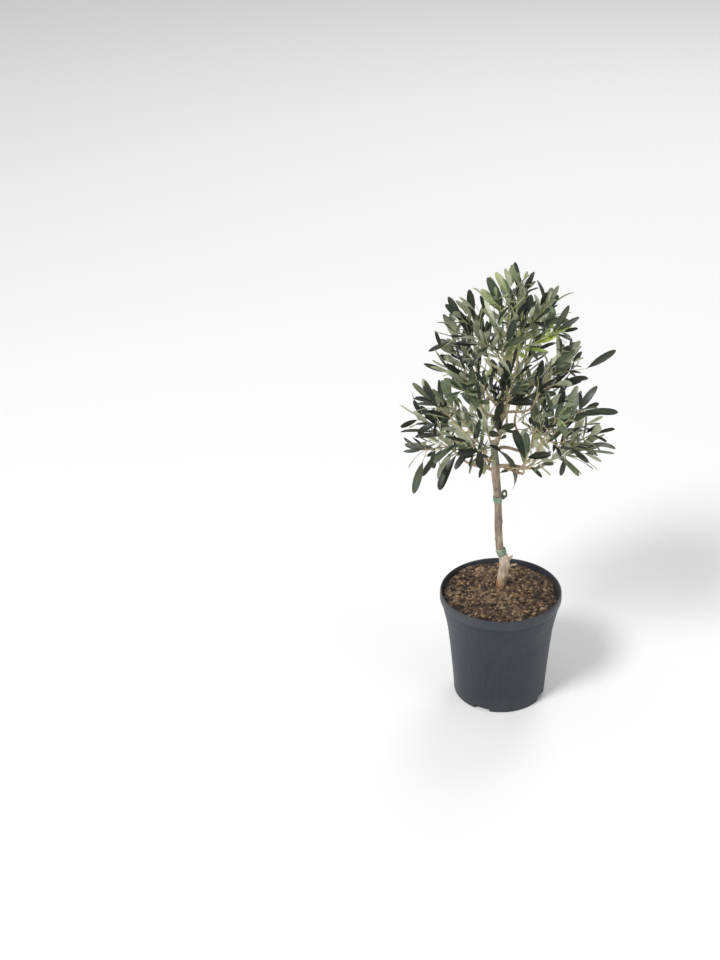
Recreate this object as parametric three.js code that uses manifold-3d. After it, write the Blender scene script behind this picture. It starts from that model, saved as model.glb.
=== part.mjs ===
// A young olive tree in a round nursery pot.
// Millimetres, +Z up, origin at the middle of the pot's flat underside, and the
// photographed side of the tree faces -Y.
// The trunk, the boughs and the pot are plain solids. Each mass of foliage is one solid:
// twigs that branch by a seeded rule from one stem, with opposite pairs of leaves fused on.
import * as THREE from "three";
import { mergeVertices } from "three/addons/utils/BufferGeometryUtils.js";
import Module from "manifold-3d";

const wasm = await Module();
wasm.setup();

// Driving sizes of the pot and the soil.
const GAP = 0.3;
const POT_HEIGHT = 186;
const POT_RIM_RADIUS = 95;
const POT_FOOT_RADIUS = 72.3;
const POT_SHOULDER = { height: 119, radius: 83 };
const POT_BAND = { height: 145, radius: 88 };
const POT_WALL = 2;
const POT_FLOOR = 2;
const POT_SIDES = 28;
const DRAIN_SLOT = { count: 4, turn: -22, width: 29, top: 21, height: 8, depth: 24, roof: 2 };
const SOIL_EDGE_HEIGHT = 173;
const SOIL_LEVEL = 178.7;
const SOIL_SEAT_RADIUS = 24;

// The trunk's line from below the soil, where it is cut level, to the pruning cut, as
// [x, y, z, radius].
const TRUNK_LINE = [
  [-1, 17, SOIL_LEVEL - 5, 10.2],
  [1, 17, 192, 8.4],
  [3.4, 16.5, 207, 8.1],
  [5.6, 16, 221, 8.2],
  [2.6, 15.5, 238, 7],
  [-2.6, 15, 252, 6],
  [-5, 14.5, 285, 5.8],
  [-6.4, 13.5, 330, 5.8],
  [-9.6, 12.5, 372, 6.2],
  [-11.4, 12, 396, 6.2],
  [-14.2, 11.5, 441, 5.4],
];
// The leading shoot that takes over beside the cut, in the same form.
const LEADER_LINE = [
  [-13.6, 11.5, 429, 4.2],
  [-8, 11, 448, 3.9],
  [-4, 10.5, 480, 3.4],
  [0, 10, 545, 2.8],
  [3, 9, 600, 2.2],
  [4, 9, 640, 1.7],
];
const CROWN_AXIS = [4, 8];
const TRUNK_STUBS = [
  { from: [5.6, 16, 217], to: [24.2, 14, 223.4], radii: [2.6, 1.2] },
  { from: [7, 15.5, 224], to: [17.2, 14, 239.5], radii: [4.2, 1.6] },
];
// The two soft ties left round the trunk, by the heights they cover, and the upper one's loop.
const TIES = { lower: { from: 240, to: 252 }, upper: { from: 336, to: 346 } };
const TIE_THICKNESS = 1.4;
const KNOT = { at: [3, 13, 350.5], width: 9.5, height: 15, depth: 5, tape: 1.6 };

// Tiers of boughs. A root is where a bough hands over to its foliage and a tip is where the
// foliage's stem ends, both as [distance from the crown's axis, height]. A bough leaves the
// trunk or the leader between the heights low and high. Droop turns leaves down, or up where
// it is negative.
const TIERS = {
  low: {
    count: 6, turn: 0, low: 386, high: 430, root: [59, 416], tip: [122, 479],
    rise: 0.7, thick: 2.9, droop: 0.32, seed: 911,
  },
  middle: {
    count: 5, turn: 64, low: 466, high: 496, root: [43, 517], tip: [85, 594],
    rise: 0.9, thick: 2.2, droop: -0.3, seed: 570,
  },
  upper: {
    count: 4, turn: 82, low: 540, high: 560, root: [25, 580], tip: [50, 657],
    rise: 0.9, thick: 2, droop: -0.4, seed: 634,
  },
  top: {
    count: 2, turn: 44, low: 596, high: 606, root: [10, 625], tip: [24, 680],
    rise: 0.9, thick: 1.6, droop: -0.45, seed: 665,
  },
};
// Each low bough forks once, and the fork carries a mass above the bough's own.
const FORK = { at: 0.6, swing: 28, root: [56, 449], tip: [111, 533], thick: 1.9, droop: -0.05, seed: 257 };
// Short shoots that grow straight from the leader fill the heart of the crown.
const INNER = { count: 4, turn: 259, low: 453, high: 576, reach: [46, 40], droop: -0.2, seed: 108 };
const CREST = { reach: [1, -1, 49], droop: -0.3, seed: 930 };
// Single leaves that show against the sky, by where their tips are and how far they bend.
const AIMED_LEAVES = [
  { tip: [166, -5, 440], bend: 1.3 },
  { tip: [-95, -15, 370], bend: 0.4 },
  { tip: [82, -40, 393], bend: 0.2 },
  { tip: [54, -45, 410], bend: 0.2 },
  { tip: [6, 2, 727], bend: 0.2 },
];

// The growth rule's sizes.
const BOUGH_TIP_RADIUS = 1.7;
const BOUGH_SIDES = 5;
const BOUGH_RINGS = 4;
const STEM_RADIUS = [1.6, 1];
const STEM_RINGS = 4;
const SIDE_TWIG_RADIUS = [1.2, 0.9];
const LEAF_LENGTH = 54;
const LEAF_HALF_WIDTH = [0.115, 0.155];
const LEAF_THICKNESS = 0.02;
const AIMED_LENGTH = 51.3;
const AIMED_MISS = 11;
const AIMED_HALF_WIDTH = 0.13;
const AIMED_MARGIN = 1.6;
const NODE_SPACING = 14.5;
const NODE_SETBACK = 0.2;
const SIDE_TWIG = { length: [36, 56], shortest: 20, chance: 0.6, nodes: 4 };
const SPACE_MARGIN = 1.2;
const LIMB_MARGIN = 1;
const LEAF_MARGIN = 3;
// Edges shorter than this, left where a leaf meets its twig, are closed up.
const SHORTEST_EDGE = 0.05;

const UP = new THREE.Vector3(0, 0, 1);
const CROWN_FOOT = new THREE.Vector3(CROWN_AXIS[0], CROWN_AXIS[1], 0);

// A fraction from 0 to 1 that depends only on the whole numbers it is given.
function chance(...keys) {
  let mixed = 2166136261;
  for (const key of keys) {
    mixed = Math.imul(mixed ^ key, 16777619);
    mixed ^= mixed >>> 15;
  }
  mixed = Math.imul(mixed, 2246822519);
  mixed ^= mixed >>> 13;
  return (mixed >>> 0) / 2 ** 32;
}

function between(low, high, ...keys) {
  return low + (high - low) * chance(...keys);
}

// A weighted sum of vectors: mix(2, a, -1, b) is 2a - b.
function mix(...terms) {
  const sum = new THREE.Vector3();
  for (let i = 0; i < terms.length; i += 2) sum.addScaledVector(terms[i + 1], terms[i]);
  return sum;
}

function toward(...terms) {
  return mix(...terms).normalize();
}

function heading(angle) {
  return new THREE.Vector3(Math.cos(angle), Math.sin(angle), 0);
}

function degrees(angle) {
  return (angle * Math.PI) / 180;
}

// Two directions square to the tangent and to each other.
function across(tangent) {
  const reference = Math.abs(tangent.z) < 0.9 ? UP : new THREE.Vector3(1, 0, 0);
  const side = new THREE.Vector3().crossVectors(tangent, reference).normalize();
  return [side, new THREE.Vector3().crossVectors(side, tangent)];
}

// Solids.

function solidFrom(geometry) {
  const bare = geometry.clone();
  bare.deleteAttribute("normal");
  bare.deleteAttribute("uv");
  const merged = mergeVertices(bare, 1e-4);
  return new wasm.Manifold(
    new wasm.Mesh({
      numProp: 3,
      vertProperties: new Float32Array(merged.attributes.position.array),
      triVerts: new Uint32Array(merged.index.array),
    }),
  );
}

// The largest body of a solid, which drops loose scraps and fills sealed hollows.
function mainBody(solid) {
  const bodies = solid.decompose();
  return bodies.reduce((best, body) => (body.volume() > best.volume() ? body : best));
}

function geometryFrom(solid) {
  const { vertProperties, triVerts } = solid.getMesh();
  const geometry = new THREE.BufferGeometry();
  geometry.setAttribute("position", new THREE.BufferAttribute(vertProperties, 3));
  geometry.setIndex(new THREE.BufferAttribute(triVerts, 1));
  return geometry;
}

// A round limb of changing radius: a unit cylinder bent along the curve, ring by ring.
function limbSolid(curve, radiusAt, sides, rings) {
  const geometry = new THREE.CylinderGeometry(1, 1, 1, sides, rings);
  const frames = curve.computeFrenetFrames(rings, false);
  const position = geometry.attributes.position;
  const vertex = new THREE.Vector3();
  for (let i = 0; i < position.count; i += 1) {
    vertex.fromBufferAttribute(position, i);
    const ring = Math.round((vertex.y + 0.5) * rings);
    const radius = radiusAt(ring / rings);
    const place = mix(
      1, curve.getPointAt(ring / rings),
      vertex.x * radius, frames.binormals[ring],
      vertex.z * radius, frames.normals[ring],
    );
    position.setXYZ(i, place.x, place.y, place.z);
  }
  return solidFrom(geometry);
}

function taper([first, last]) {
  return (part) => first + (last - first) * part;
}

// Pot and soil.

// The pot's outer wall from the foot to the rim, as [radius, height].
function outerWall() {
  return [
    [POT_FOOT_RADIUS, 0],
    [POT_FOOT_RADIUS + 3.9, 51],
    [POT_SHOULDER.radius, POT_SHOULDER.height],
    [POT_BAND.radius - 1, POT_BAND.height - 10],
    [POT_BAND.radius, POT_BAND.height],
    [POT_RIM_RADIUS - 2.3, POT_HEIGHT - 28],
    [POT_RIM_RADIUS + 0.3, POT_HEIGHT - 15],
    [POT_RIM_RADIUS, POT_HEIGHT - 2],
    [POT_RIM_RADIUS - 0.8, POT_HEIGHT],
  ];
}

// A wall's radius at a height.
function wallRadius(wall, height) {
  let index = 1;
  while (index < wall.length - 1 && wall[index][1] < height) index += 1;
  const [lowRadius, lowHeight] = wall[index - 1];
  const [highRadius, highHeight] = wall[index];
  return THREE.MathUtils.mapLinear(height, lowHeight, highHeight, lowRadius, highRadius);
}

// The inner wall from the floor to the rim, one wall thickness inside the outer one.
function innerWall() {
  const turns = [POT_SHOULDER.height, POT_BAND.height, POT_HEIGHT - 28, POT_HEIGHT - 15];
  const heights = [POT_FLOOR, ...turns, POT_HEIGHT];
  return heights.map((height) => [wallRadius(outerWall(), height) - POT_WALL, height]);
}

function turned(profile) {
  const points = profile.map(([radius, height]) => new THREE.Vector2(radius, height));
  const lathe = new THREE.LatheGeometry(points, POT_SIDES);
  lathe.rotateX(Math.PI / 2);
  return solidFrom(lathe);
}

// The drain slot's block, seen from the side of the pot as a trapezium, run inwards.
function slotBlocks(grow, height, innermost) {
  const halfWidth = DRAIN_SLOT.width / 2 + grow;
  const halfTop = DRAIN_SLOT.top / 2 + grow;
  const shape = new THREE.Shape([
    new THREE.Vector2(-halfWidth, -1),
    new THREE.Vector2(halfWidth, -1),
    new THREE.Vector2(halfTop, height),
    new THREE.Vector2(-halfTop, height),
  ]);
  const depth = POT_RIM_RADIUS - innermost;
  const block = new THREE.ExtrudeGeometry(shape, { depth, bevelEnabled: false });
  block.rotateX(Math.PI / 2);
  block.translate(0, -innermost, 0);
  const solids = [];
  for (let i = 0; i < DRAIN_SLOT.count; i += 1) {
    const turnedBlock = block.clone();
    turnedBlock.rotateZ(degrees(DRAIN_SLOT.turn + (360 * i) / DRAIN_SLOT.count));
    solids.push(solidFrom(turnedBlock));
  }
  return wasm.Manifold.union(solids);
}

function potSolid() {
  const outer = outerWall();
  const shell = turned([[0, 0], ...outer, ...innerWall().toReversed(), [0, POT_FLOOR], [0, 0]]);
  const body = turned([[0, 0], ...outer, [0, POT_HEIGHT], [0, 0]]);
  const innermost = POT_FOOT_RADIUS - DRAIN_SLOT.depth;
  const roofs = slotBlocks(DRAIN_SLOT.roof, DRAIN_SLOT.height + DRAIN_SLOT.roof, innermost - DRAIN_SLOT.roof);
  const slots = slotBlocks(0, DRAIN_SLOT.height, innermost);
  const underFloor = body.intersect(roofs);
  return shell.add(underFloor).subtract(slots);
}

// The soil fills the pot to just under the rim and rises gently to the trunk.
function soilSolid() {
  const bottom = POT_FLOOR + GAP;
  const turns = innerWall().map(([, height]) => height);
  const within = turns.filter((height) => height > bottom && height < SOIL_EDGE_HEIGHT);
  const side = [bottom, ...within, SOIL_EDGE_HEIGHT];
  const profile = [
    [0, bottom],
    ...side.map((height) => [wallRadius(innerWall(), height) - GAP, height]),
    [70, SOIL_EDGE_HEIGHT + 1.2],
    [48, SOIL_EDGE_HEIGHT + 3.2],
    [SOIL_SEAT_RADIUS + 8, SOIL_LEVEL - 0.6],
    [0, SOIL_LEVEL - 0.3],
    [0, bottom],
  ];
  const fill = turned(profile);
  const seat = new THREE.CylinderGeometry(SOIL_SEAT_RADIUS * 0.6, SOIL_SEAT_RADIUS, 3, 24);
  seat.rotateX(Math.PI / 2);
  seat.translate(TRUNK_LINE[0][0], TRUNK_LINE[0][1], SOIL_LEVEL - 1.5);
  const grow = DRAIN_SLOT.roof + GAP;
  const innermost = POT_FOOT_RADIUS - DRAIN_SLOT.depth - grow;
  const blocks = slotBlocks(grow, DRAIN_SLOT.height + grow, innermost);
  return fill.add(solidFrom(seat)).subtract(blocks);
}

// Trunk, leader and boughs.

function lineCurve(line) {
  return new THREE.CatmullRomCurve3(line.map(([x, y, z]) => new THREE.Vector3(x, y, z)), false, "catmullrom");
}

// The radius along a line, whose points stand at equal steps of the fraction.
function lineRadius(line, fraction) {
  const at = fraction * (line.length - 1);
  const index = Math.min(Math.floor(at), line.length - 2);
  return THREE.MathUtils.lerp(line[index][3], line[index + 1][3], at - index);
}

// The point and the radius of a line at a height.
function atHeight(line, height) {
  let index = 1;
  while (index < line.length - 1 && line[index][2] < height) index += 1;
  const low = line[index - 1];
  const high = line[index];
  const part = (height - low[2]) / (high[2] - low[2]);
  const [x, y, z, radius] = low.map((value, k) => value + (high[k] - value) * part);
  return { point: new THREE.Vector3(x, y, z), radius };
}

const TRUNK = { curve: lineCurve(TRUNK_LINE), line: TRUNK_LINE, sides: 10, rings: 18 };
const LEADER = { curve: lineCurve(LEADER_LINE), line: LEADER_LINE, sides: 7, rings: 7 };

// The trunk or the leader, or with a clearance the space round it, measured at its flats.
function stemSolid({ curve, line, sides, rings }, clearance) {
  const extra = clearance / Math.cos(Math.PI / sides);
  const radiusAt = (part) => lineRadius(line, curve.getUtoTmapping(part)) + extra;
  return limbSolid(curve, radiusAt, sides, rings);
}

// A bough or the space round it, in the same way.
function boughSolid({ curve, radii }, clearance) {
  const extra = clearance / Math.cos(Math.PI / BOUGH_SIDES);
  return limbSolid(curve, taper(radii.map((radius) => radius + extra)), BOUGH_SIDES, BOUGH_RINGS);
}

// The cut stubs at the trunk's kink, sunk in it at their thick ends.
function stubSolid({ from, to, radii }) {
  const start = new THREE.Vector3(...from);
  const end = new THREE.Vector3(...to);
  return limbSolid(new THREE.LineCurve3(start, end), taper(radii), 6, 2);
}

// A band of tape round the trunk, a gap clear of the bark.
function tieSolid({ from, to }) {
  const heights = [from, (from + to) / 2, to];
  const points = heights.map((height) => atHeight(TRUNK_LINE, height).point);
  const radius = atHeight(TRUNK_LINE, from).radius + GAP + TIE_THICKNESS;
  return limbSolid(new THREE.CatmullRomCurve3(points), () => radius, 10, 1);
}

// The loop in which the upper tie is knotted, beside the trunk.
function knotSolid() {
  const loop = new THREE.Shape().absellipse(0, 0, KNOT.width / 2, KNOT.height / 2, 0, 2 * Math.PI);
  const hollow = new THREE.Path();
  hollow.absellipse(0, 0, KNOT.width / 2 - KNOT.tape, KNOT.height / 2 - KNOT.tape, 0, 2 * Math.PI);
  loop.holes.push(hollow);
  const options = { depth: KNOT.depth, bevelEnabled: false, curveSegments: 7 };
  const geometry = new THREE.ExtrudeGeometry(loop, options);
  geometry.rotateX(Math.PI / 2);
  geometry.translate(KNOT.at[0], KNOT.at[1] + KNOT.depth / 2, KNOT.at[2]);
  return solidFrom(geometry);
}

const limbs = [];
const boughs = [];
const masses = [];

// A limb as short straight pieces for the clearance tests.
function addLimb(curve, radiusAt, pieces) {
  const points = [];
  for (let i = 0; i <= pieces; i += 1) {
    points.push({ at: curve.getPoint(i / pieces), radius: radiusAt(i / pieces) });
  }
  limbs.push(points);
}

// A bough from its start, where it leaves its parent, to the root of its foliage.
function addBough(name, parent, start, leaving, root, arriving, startRadius) {
  const reach = start.distanceTo(root);
  const curve = new THREE.CubicBezierCurve3(
    start,
    mix(1, start, 0.4 * reach, leaving),
    mix(1, root, -0.4 * reach, arriving),
    root,
  );
  const bough = { name, parent, curve, radii: [startRadius, BOUGH_TIP_RADIUS] };
  addLimb(curve, taper(bough.radii), 10);
  boughs.push(bough);
  return bough;
}

function addMass(name, tier, root, tip) {
  const key = masses.length;
  const direction = toward(1, tip, -1, root);
  const [side, rise] = across(direction);
  const bow = mix(between(-6, 6, tier.seed, key, 1), side, between(-3, 5, tier.seed, key, 2), rise);
  const knee = mix(0.5, root, 0.5, tip, 1, bow);
  const mass = { name, key, tier, root, tip, knee, leaves: [], twigs: [], spots: [], cloud: [] };
  masses.push(mass);
  return mass;
}

// A point of the crown from its distance to the axis and its height.
function crownPoint([distance, height], angle, scale, lift) {
  return mix(1, CROWN_FOOT, distance * scale, heading(angle), height + lift, UP);
}

function growTier(kind, order) {
  const tier = TIERS[kind];
  const source = kind === "low" ? TRUNK_LINE : LEADER_LINE;
  for (let i = 0; i < tier.count; i += 1) {
    const draw = (low, high, key) => between(low, high, tier.seed, order, i, key);
    const angle = degrees(tier.turn + (360 * i) / tier.count + draw(-14, 14, 1));
    const scale = draw(0.9, 1.1, 2);
    const lift = draw(-10, 12, 3);
    const root = crownPoint(tier.root, angle, scale, lift);
    const tip = crownPoint(tier.tip, angle + draw(-0.25, 0.25, 5), scale, 1.5 * lift);
    const mass = addMass(`${kind}_foliage_${i + 1}`, tier, root, tip);
    const height = tier.low + (tier.high - tier.low) * ((i * 0.618 + 0.2) % 1);
    const { point, radius } = atHeight(source, height);
    const leaving = toward(1, heading(angle), tier.rise, UP);
    const arriving = toward(1, mass.knee, -1, root);
    const thick = Math.min(tier.thick, radius * 0.75);
    const bough = addBough(`${kind}_bough_${i + 1}`, null, point, leaving, root, arriving, thick);
    if (kind === "low") growFork(bough, angle, order, i);
  }
}

function growFork(bough, angle, order, i) {
  const draw = (low, high, key) => between(low, high, FORK.seed, order, i, key);
  const swung = angle + degrees(FORK.swing) * (i % 2 ? 1 : -1) * draw(0.7, 1.3, 6);
  const root = crownPoint(FORK.root, swung, draw(0.9, 1.1, 7), draw(-10, 12, 8));
  const tip = crownPoint(FORK.tip, swung, draw(0.88, 1.1, 9), draw(-14, 14, 10));
  const mass = addMass(`fork_foliage_${i + 1}`, FORK, root, tip);
  const start = bough.curve.getPoint(FORK.at);
  const leaving = toward(1, bough.curve.getTangent(FORK.at), 0.9, UP);
  const arriving = toward(1, mass.knee, -1, root);
  addBough(`fork_bough_${i + 1}`, bough, start, leaving, root, arriving, FORK.thick);
}

function growInner() {
  for (let i = 0; i < INNER.count; i += 1) {
    const out = heading(degrees(INNER.turn + 137.5 * i));
    const height = INNER.low + ((INNER.high - INNER.low) * i) / (INNER.count - 1);
    const { point } = atHeight(LEADER_LINE, height);
    const tip = mix(1, point, INNER.reach[0], out, INNER.reach[1], UP);
    addMass(`inner_foliage_${i + 1}`, INNER, point, tip);
  }
}

// The leader's own tip, whose stem carries the leader's line on.
function growCrest() {
  const root = LEADER.curve.getPoint(1);
  const reach = new THREE.Vector3(...CREST.reach);
  const mass = addMass("crest_foliage", CREST, root, mix(1, root, 1, reach));
  mass.knee = mix(1, root, 0.5 * reach.length(), LEADER.curve.getTangent(1));
}

addLimb(TRUNK.curve, (fraction) => lineRadius(TRUNK_LINE, fraction), 40);
addLimb(LEADER.curve, (fraction) => lineRadius(LEADER_LINE, fraction), 20);
Object.keys(TIERS).forEach(growTier);
growInner();
growCrest();

// Growth of the foliage.

function distanceToPiece(point, start, end) {
  const along = mix(1, end, -1, start);
  const part = THREE.MathUtils.clamp(mix(1, point, -1, start).dot(along) / along.lengthSq(), 0, 1);
  return { part, distance: point.distanceTo(mix(1, start, part, along)) };
}

// A mass owns the points that lie nearer to its own stem than to any other stem.
function inOwnSpace(mass, points, margin) {
  return points.every((point) => {
    const own = distanceToPiece(point, mass.root, mass.tip).distance + margin;
    return masses.every(
      (other) => other === mass || distanceToPiece(point, other.root, other.tip).distance >= own,
    );
  });
}

function clearOfLimbs(points, margin) {
  return points.every((point) =>
    limbs.every((pieces) =>
      pieces.slice(1).every((end, k) => {
        const start = pieces[k];
        const { part, distance } = distanceToPiece(point, start.at, end.at);
        return distance - start.radius - (end.radius - start.radius) * part >= margin;
      }),
    ),
  );
}

function clearOfCloud(mass, points, margin) {
  return points.every((point) => mass.cloud.every((other) => point.distanceTo(other) >= margin));
}

// The leaf's middle line is an arc that starts along its direction and bends away from its
// upper side.
function midrib(leaf, part) {
  const turn = leaf.bend * part;
  return mix(
    1, leaf.base,
    (leaf.length / leaf.bend) * Math.sin(turn), leaf.direction,
    (-leaf.length / leaf.bend) * (1 - Math.cos(turn)), leaf.upper,
  );
}

function leafPoints(leaf) {
  const middles = [0.2, 0.35, 0.5, 0.65, 0.8, 1].map((part) => midrib(leaf, part));
  const edges = middles.slice(1, 5).flatMap((middle) => [
    mix(1, middle, leaf.halfWidth, leaf.side),
    mix(1, middle, -leaf.halfWidth, leaf.side),
  ]);
  return [...middles, ...edges];
}

// Tries a leaf at four turns round its twig and keeps the first that is free.
function growLeaf(mass, base, tangent, radial, spread, length, keys, droop) {
  const draw = (low, high, key) => between(low, high, mass.tier.seed, ...keys, key);
  const turns = [0, 0.35, -0.35, 0];
  const spreads = [1, 1, 1, 0.55];
  for (let attempt = 0; attempt < 4; attempt += 1) {
    const around = new THREE.Vector3().crossVectors(tangent, radial);
    const out = toward(Math.cos(turns[attempt]), radial, Math.sin(turns[attempt]), around);
    const angle = spread * spreads[attempt];
    const fall = droop * draw(0.3, 1.3, 11);
    const direction = toward(Math.cos(angle), tangent, Math.sin(angle), out, -fall, UP);
    const skyward = mix(1, UP, -UP.dot(direction), direction);
    const inward = toward(1, tangent, -tangent.dot(direction), direction, 1e-6, skyward);
    const level = toward(1, inward, 0.6, skyward);
    const roll = draw(-0.6, 0.6, 12);
    const beside = new THREE.Vector3().crossVectors(direction, level);
    const rolled = toward(Math.cos(roll), level, Math.sin(roll), beside);
    const upper = toward(1, rolled, -rolled.dot(direction), direction);
    const leaf = {
      base,
      direction,
      upper,
      side: new THREE.Vector3().crossVectors(direction, upper),
      length: length * (1 - 0.07 * attempt),
      halfWidth: length * draw(...LEAF_HALF_WIDTH, 13),
      bend: draw(0.02, 0.8, 14) * (draw(0, 1, 15) > 0.2 ? 1 : -0.4),
    };
    const points = leafPoints(leaf);
    const free =
      inOwnSpace(mass, points, SPACE_MARGIN) &&
      clearOfLimbs(points, LIMB_MARGIN) &&
      clearOfCloud(mass, points, LEAF_MARGIN);
    if (free) {
      mass.cloud.push(...points);
      mass.leaves.push(leaf);
      return;
    }
  }
}

// A twig carries opposite pairs of leaves, each pair turned a quarter from the last. On a
// stem, the lower pairs may grow out as side twigs.
function growTwig(mass, curve, isStem, keys, droop) {
  const draw = (low, high, ...key) => between(low, high, mass.tier.seed, ...keys, ...key);
  const length = curve.getLength();
  const spacing = NODE_SPACING * draw(0.88, 1.12, 1) * (isStem ? 1 : 0.92);
  const nodes = Math.max(2, Math.round(length / spacing));
  const firstTurn = draw(0, Math.PI, 2);
  mass.twigs.push({ curve, isStem });
  for (let node = 1; node <= nodes; node += 1) {
    const part = (node - NODE_SETBACK) / nodes;
    const place = curve.getPoint(part);
    const tangent = curve.getTangent(part);
    const [side, rise] = across(tangent);
    mass.spots.push(place);
    for (let pair = 0; pair < 2; pair += 1) {
      const key = 100 + 2 * node + pair;
      const turn = firstTurn + (node * Math.PI) / 2 + pair * Math.PI + draw(-0.25, 0.25, key, 3);
      const radial = mix(Math.cos(turn), side, Math.sin(turn), rise);
      const mayBranch = isStem && node < nodes && node <= SIDE_TWIG.nodes;
      const branches = mayBranch && draw(0, 1, key, 5) < SIDE_TWIG.chance;
      const scale = 1 - (0.5 * (node - 1)) / nodes;
      if (branches && growSideTwig(mass, place, tangent, radial, [...keys, key], scale, droop)) continue;
      const isLast = node === nodes;
      const open = isLast ? draw(15, 32, key, 6) : draw(40, 66, key, 6) * (1 - 0.3 * part);
      const leafLength = LEAF_LENGTH * draw(0.84, 1.12, key, 7) * (isLast ? 0.8 : 1 - 0.15 * part);
      const fall = droop * (1 - 0.5 * part);
      growLeaf(mass, place, tangent, radial, degrees(open), leafLength, [...keys, key], fall);
    }
  }
}

function growSideTwig(mass, start, tangent, radial, keys, scale, droop) {
  const draw = (low, high, key) => between(low, high, mass.tier.seed, ...keys, key);
  for (let attempt = 0; attempt < 2; attempt += 1) {
    const length = draw(...SIDE_TWIG.length, 31) * scale * (1 - 0.25 * attempt);
    if (length < SIDE_TWIG.shortest) return false;
    const open = degrees(draw(38, 56, 32));
    const direction = toward(Math.cos(open), tangent, Math.sin(open), radial);
    const end = mix(1, start, length, direction, length * (0.15 - 0.3 * droop), UP);
    const curve = new THREE.LineCurve3(start, end);
    const points = [0.3, 0.6, 1].map((part) => curve.getPoint(part));
    if (inOwnSpace(mass, points, 4) && clearOfLimbs(points, 2) && clearOfCloud(mass, points, 4)) {
      mass.cloud.push(...points);
      growTwig(mass, curve, false, keys, droop);
      return true;
    }
  }
  return false;
}

// A stem starts a gap beyond the tip of its bough.
function growMass(mass) {
  const start = mix(1, mass.root, GAP, toward(1, mass.knee, -1, mass.root));
  const stem = new THREE.QuadraticBezierCurve3(start, mass.knee, mass.tip);
  growTwig(mass, stem, true, [mass.key], mass.tier.droop);
}

// Lays a leaf to the given tip from the twig's node that suits the length best and is free.
function aimLeaf({ tip: [x, y, z], bend }) {
  const tip = new THREE.Vector3(x, y, z);
  const miss = ({ base }) => Math.abs(base.distanceTo(tip) - AIMED_LENGTH);
  const starts = masses
    .flatMap((mass) => mass.spots.map((base) => ({ mass, base })))
    .filter((start) => miss(start) <= AIMED_MISS)
    .sort((a, b) => miss(a) - miss(b));
  for (const { mass, base } of starts) {
    const chord = toward(1, tip, -1, base);
    const skyward = toward(1, UP, -UP.dot(chord), chord);
    const direction = mix(Math.cos(bend / 2), chord, Math.sin(bend / 2), skyward);
    const upper = mix(Math.cos(bend / 2), skyward, -Math.sin(bend / 2), chord);
    const side = new THREE.Vector3().crossVectors(direction, upper);
    const length = (base.distanceTo(tip) * bend) / 2 / Math.sin(bend / 2);
    const leaf = { base, direction, upper, side, length, halfWidth: length * AIMED_HALF_WIDTH, bend };
    const points = leafPoints(leaf);
    const open = points.slice(2);
    const free =
      inOwnSpace(mass, points, SPACE_MARGIN) &&
      clearOfLimbs(open, LIMB_MARGIN) &&
      clearOfCloud(mass, open, AIMED_MARGIN);
    if (free) {
      mass.cloud.push(...points);
      mass.leaves.push(leaf);
      return;
    }
  }
}

masses.forEach(growMass);
AIMED_LEAVES.forEach(aimLeaf);

// A leaf of ten faces: a hexagon pointed at both ends that follows the bend, with a ridge on
// its hollow side that is highest near the stalk, whose end lies in the middle of the twig.
function leafSolid(leaf) {
  const side = Math.sign(leaf.bend);
  const at = (part, width, lift) =>
    mix(1, midrib(leaf, part), width * leaf.halfWidth, leaf.side, lift * leaf.length, leaf.upper);
  const corners = [
    at(0, 0, 0),
    at(0.34, 0.86, 0),
    at(0.34, -0.86, 0),
    at(0.72, 0.88, 0),
    at(0.72, -0.88, 0),
    at(0.26, 0, -side * LEAF_THICKNESS),
    at(1, 0, 0),
  ];
  const faces = [
    [0, 2, 1], [1, 2, 4], [1, 4, 3], [3, 4, 6],
    [0, 1, 5], [1, 3, 5], [3, 6, 5], [6, 4, 5], [4, 2, 5], [2, 0, 5],
  ];
  const geometry = new THREE.BufferGeometry().setFromPoints(corners);
  geometry.setIndex(side > 0 ? faces.flat().reverse() : faces.flat());
  return solidFrom(geometry);
}

function massSolid(mass) {
  const twigs = mass.twigs.map(({ curve, isStem }) => {
    const radius = taper(isStem ? STEM_RADIUS : SIDE_TWIG_RADIUS);
    return limbSolid(curve, radius, 3, isStem ? STEM_RINGS : 1);
  });
  const grown = wasm.Manifold.union([...twigs, ...mass.leaves.map(leafSolid)]);
  const free = mass.tier === INNER ? grown.subtract(leaderSpace) : grown;
  return mainBody(free).asOriginal().simplify(SHORTEST_EDGE);
}

// Finishes and the assembly.

const finish = (name, color, roughness) =>
  new THREE.MeshStandardMaterial({ name, color, roughness, metalness: 0, flatShading: true });
const POT_PLASTIC = finish("pot plastic", 0x484d55, 0.45);
const SOIL_PEAT = finish("peat", 0x54412f, 0.95);
const BARK = finish("bark", 0x9d8f7d, 0.85);
const YOUNG_BARK = finish("young bark", 0x9c8f74, 0.8);
const TIE_TAPE = finish("tie tape", 0x8a9a80, 0.6);
const LEAVES = finish("leaves", 0x5c6a50, 0.55);

const tree = new THREE.Group();

function add(name, solid, material) {
  const mesh = new THREE.Mesh(geometryFrom(mainBody(solid)), material);
  mesh.name = name;
  tree.add(mesh);
}

add("pot", potSolid(), POT_PLASTIC);
add("soil", soilSolid(), SOIL_PEAT);

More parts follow.
